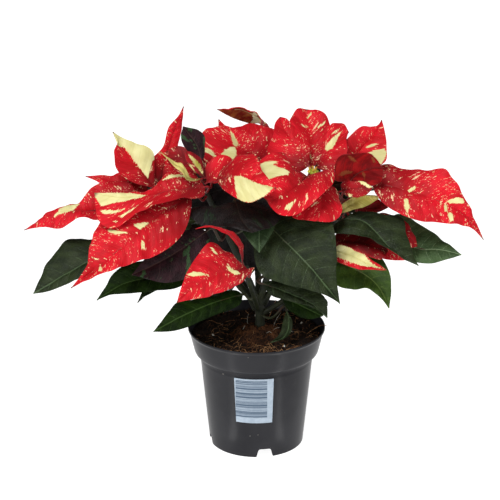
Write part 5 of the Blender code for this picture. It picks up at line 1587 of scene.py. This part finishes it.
def thread_line(rng, x, y, lengths, girths, lift):
    """A thread lying on the ground, its ends a little free, as (point, radius)."""
    length, radius = rng.uniform(*lengths), girths[0] + girths[1] * rng.uniform()
    heading, curl = rng.uniform(0, 2 * math.pi), rng.uniform(-0.5, 0.5)
    last = THREAD_POINTS - 1
    line = []
    for k in range(THREAD_POINTS):
        if math.hypot(x, y) > THREAD_REACH:
            break
        rise = lift * rng.uniform(0.1, 1.0) * (1.0 if 0 < k < last else 0.3)
        line.append(((x, y, ground_level(x, y) + rise), radius * (1.0 if k < last else 0.5)))
        heading += curl
        x, y = x + length / last * math.cos(heading), y + length / last * math.sin(heading)
    if len(line) < 2:
        line.append(((line[0][0][0] * 0.97, line[0][0][1] * 0.97, line[0][0][2]), radius))
    return line


def free_line(points, steps, radius, taper):
    """A thread or root that stands free on a smooth curve, as (point, radius)."""
    curve = smooth_curve(points, steps)
    return [(place, radius - taper * k / len(curve)) for k, place in enumerate(curve)]


def make_ground(finishes):
    """Compost, the fibre plug with its loose threads, lumps and pale grains."""
    rng = np.random.default_rng(GROUND_SEED)
    bed = disc_piece("soil_bed", SOIL_CELLS, SOIL_RADIUS, 0.0, soil_level, finishes["compost"])
    draw_out(bed, SOIL_SIDE)
    bpy.ops.object.shade_smooth()
    place_piece(bed, "compost", "soil")
    mound = disc_piece("fibre_mound", PLUG_CELLS, PLUG_RADIUS, PLUG_Y, mound_level, finishes["coir"])
    draw_out(mound, PLUG_SIDE)
    bpy.ops.object.shade_smooth()
    place_piece(mound, "coir_fibre", "fibre_plug")

    places = []
    for _ in range(CRUMBS):
        x, y = drawn_point(rng, LOOSE_REACH, 0.08)
        size = 0.6 + 1.5 * rng.uniform() ** 2.5
        places.append(((x, y, ground_level(x, y) + 0.25 * size), size, rng.uniform(0, 6)))
    scatter("soil_crumbs", (1.0, 5.0, 9.0), finishes["crumb"], places)
    places = [((x, y, ground_level(x, y) + 0.4), size, 1.3 * k) for k, (x, y, size) in enumerate(GRAINS)]
    scatter("soil_grains", (13.0, 17.0), finishes["grain"], places)

    lines = []
    for _ in range(PLUG_THREADS):
        x, y = drawn_point(rng, PLUG_LOOSE_REACH, 0.0)
        lines.append(thread_line(rng, x, y + PLUG_Y, *PLUG_THREAD))
    place_piece(tube_piece("mound_threads", lines, finishes["thread"], bevel=0), "coir_fibre")
    lines = []
    for _ in range(SOIL_THREADS):
        x, y = drawn_point(rng, LOOSE_REACH, 0.15)
        lines.append(thread_line(rng, x, y, *SOIL_THREAD))
    lines += [free_line(points, 6, 0.3, 0.1) for points in LOOSE_THREADS]
    for _ in range(FRONT_THREADS):
        x, y = rng.normal(*FRONT_SIDEWAYS), -rng.uniform(*FRONT_FORWARD)
        if math.hypot(x, y) < FRONT_REACH:
            lines.append(thread_line(rng, x, y, *FRONT_THREAD))
    place_piece(tube_piece("soil_threads", lines, finishes["straw"], bevel=0), "coir_fibre")
    lines = [free_line(points, 5, 0.22, 0.08) for points in WHITE_ROOTS]
    place_piece(tube_piece("soil_rootlets", lines, finishes["root"], bevel=0), "coir_fibre")


def made_from(row, finish):
    """The finish of one row of a table, its colours turned into the shader's."""
    return finish(*(srgb(*part) if isinstance(part, tuple) else part for part in row))


def make_finishes():
    """The procedural materials by the keys that the pieces ask for; a blade has three."""
    stalks = {key: made_from(row, stalk_finish) for key, row in STALK_TONES.items()}
    under = {}
    for key, (name, deep, lit, vein, cream, fray) in UNDER_TONES.items():
        pitch = (LEAF_BUILD if key == "leaf" else BRACT_BUILD)["vein_pitch"]
        under[key] = made_from((name, deep, lit, vein, pitch, cream, fray), under_finish)
    finishes = {**stalks, **{key: made_from(row, earth_finish) for key, row in EARTH_TONES.items()}}
    finishes["bark"] = made_from(("stem_bark_young", (22, 28, 14), (42, 47, 24), (92, 86, 62)), bark_finish)
    for key, row in LEAF_TONES.items():
        finishes[key] = (made_from(row, leaf_finish), under["leaf"], stalks["leaf_stalk"])
    for key, row in BRACT_TONES.items():
        finishes[key] = (made_from(row, bract_finish), under["bract"], stalks["bract_stalk"])
    finishes["bract_bronze"] = (finishes["bract"][0], under["bronze"], stalks["pale_stalk"])
    # The ochre-backed bract takes the darker red copy on its upper face: painted shade
    finishes["bract_ochre"] = (finishes["bract_deep"][0], under["ochre"], stalks["bract_stalk"])
    return finishes


def dress_solid(node, surface):
    """Give a solid that stays as it is its finish."""
    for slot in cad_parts[node].material_slots:
        slot.material = surface


def make_floor():
    """A plain white floor that glows a little, so that no shadow darkens it."""
    bpy.ops.mesh.primitive_plane_add(size=FLOOR_SIZE)
    floor = bpy.context.object
    floor.name = "studio_floor"
    made = Finish("studio_floor_white", (0.3, 0.3, 0.3), 0.9, 0.0, Emission_Color=(1.0, 1.0, 1.0, 1.0),
                  Emission_Strength=FLOOR_GLOW)
    floor.data.materials.append(made.wear())


def turned_to(direction):
    """The turn that points a lamp or a camera along a direction."""
    return direction.to_track_quat("-Z", "Y").to_euler()


def soft_lamp(name, place, turn, size, power):
    """A rectangle of light."""
    bpy.ops.object.light_add(type="AREA", location=place, rotation=turn)
    lamp = bpy.context.object
    lamp.name = name
    lamp.data.shape = "RECTANGLE"
    lamp.data.size, lamp.data.size_y = size
    lamp.data.energy = power
    return lamp


def broad_sun(name, direction, spread, power):
    """Light from afar with soft edges to its shadows; the spread is in degrees."""
    bpy.ops.object.light_add(type="SUN", location=(0.0, 0.0, 2.0))
    lamp = bpy.context.object
    lamp.name = name
    lamp.data.angle = math.radians(spread)
    lamp.data.energy = power
    lamp.rotation_euler = turned_to(Vector(direction))


def make_light():
    """Even soft white light all round, the stronger part from the upper left in front."""
    world = bpy.data.worlds.new("studio_light")
    world.use_nodes = True
    world.node_tree.nodes["Background"].inputs["Color"].default_value = (1.0, 1.0, 1.0, 1.0)
    world.node_tree.nodes["Background"].inputs["Strength"].default_value = AIR_GLOW
    bpy.context.scene.world = world
    for sun in SUNS:
        broad_sun(*sun)
    for name, place, size, power in LAMPS:
        soft_lamp(name, place, turned_to(Vector(LAMP_TARGET) - Vector(place)), size, power)
    # Two strips on the floor, unseen, for the soft upright gleams on the pot
    for name, side in (("low_strip_left", -1), ("low_strip_right", 1)):
        x, y, z = STRIP_PLACE
        turn = math.atan2(STRIP_HEADING[1], side * STRIP_HEADING[0])
        strip = soft_lamp(name, (side * x, y, z), (math.pi, 0.0, turn), STRIP_SIZE, STRIP_WATTS)
        strip.visible_camera = False


def make_camera():
    """The photograph's view: a little down, from two metres."""
    target = Vector(VIEW_TARGET)
    down = math.radians(VIEW_TILT)
    place = target + Vector((0.0, -VIEW_DISTANCE * math.cos(down), VIEW_DISTANCE * math.sin(down)))
    bpy.ops.object.camera_add(location=place)
    camera = bpy.context.object
    camera.name = "photo_view"
    camera.rotation_euler = turned_to(target - place)
    camera.data.sensor_width = 36.0
    camera.data.lens = VIEW_LENS
    camera.data.dof.use_dof = False
    bpy.context.scene.camera = camera


deselect_all()
bpy.context.scene.view_settings.view_transform = "Standard"
finishes = make_finishes()
make_pot(pot_finish())
dress_solid("label", label_finish())
make_ground(finishes)
make_stems(finishes)
make_near_blades(finishes)
make_cyathia(finishes)
make_rear_growth(finishes)
make_floor()
make_light()
make_camera()
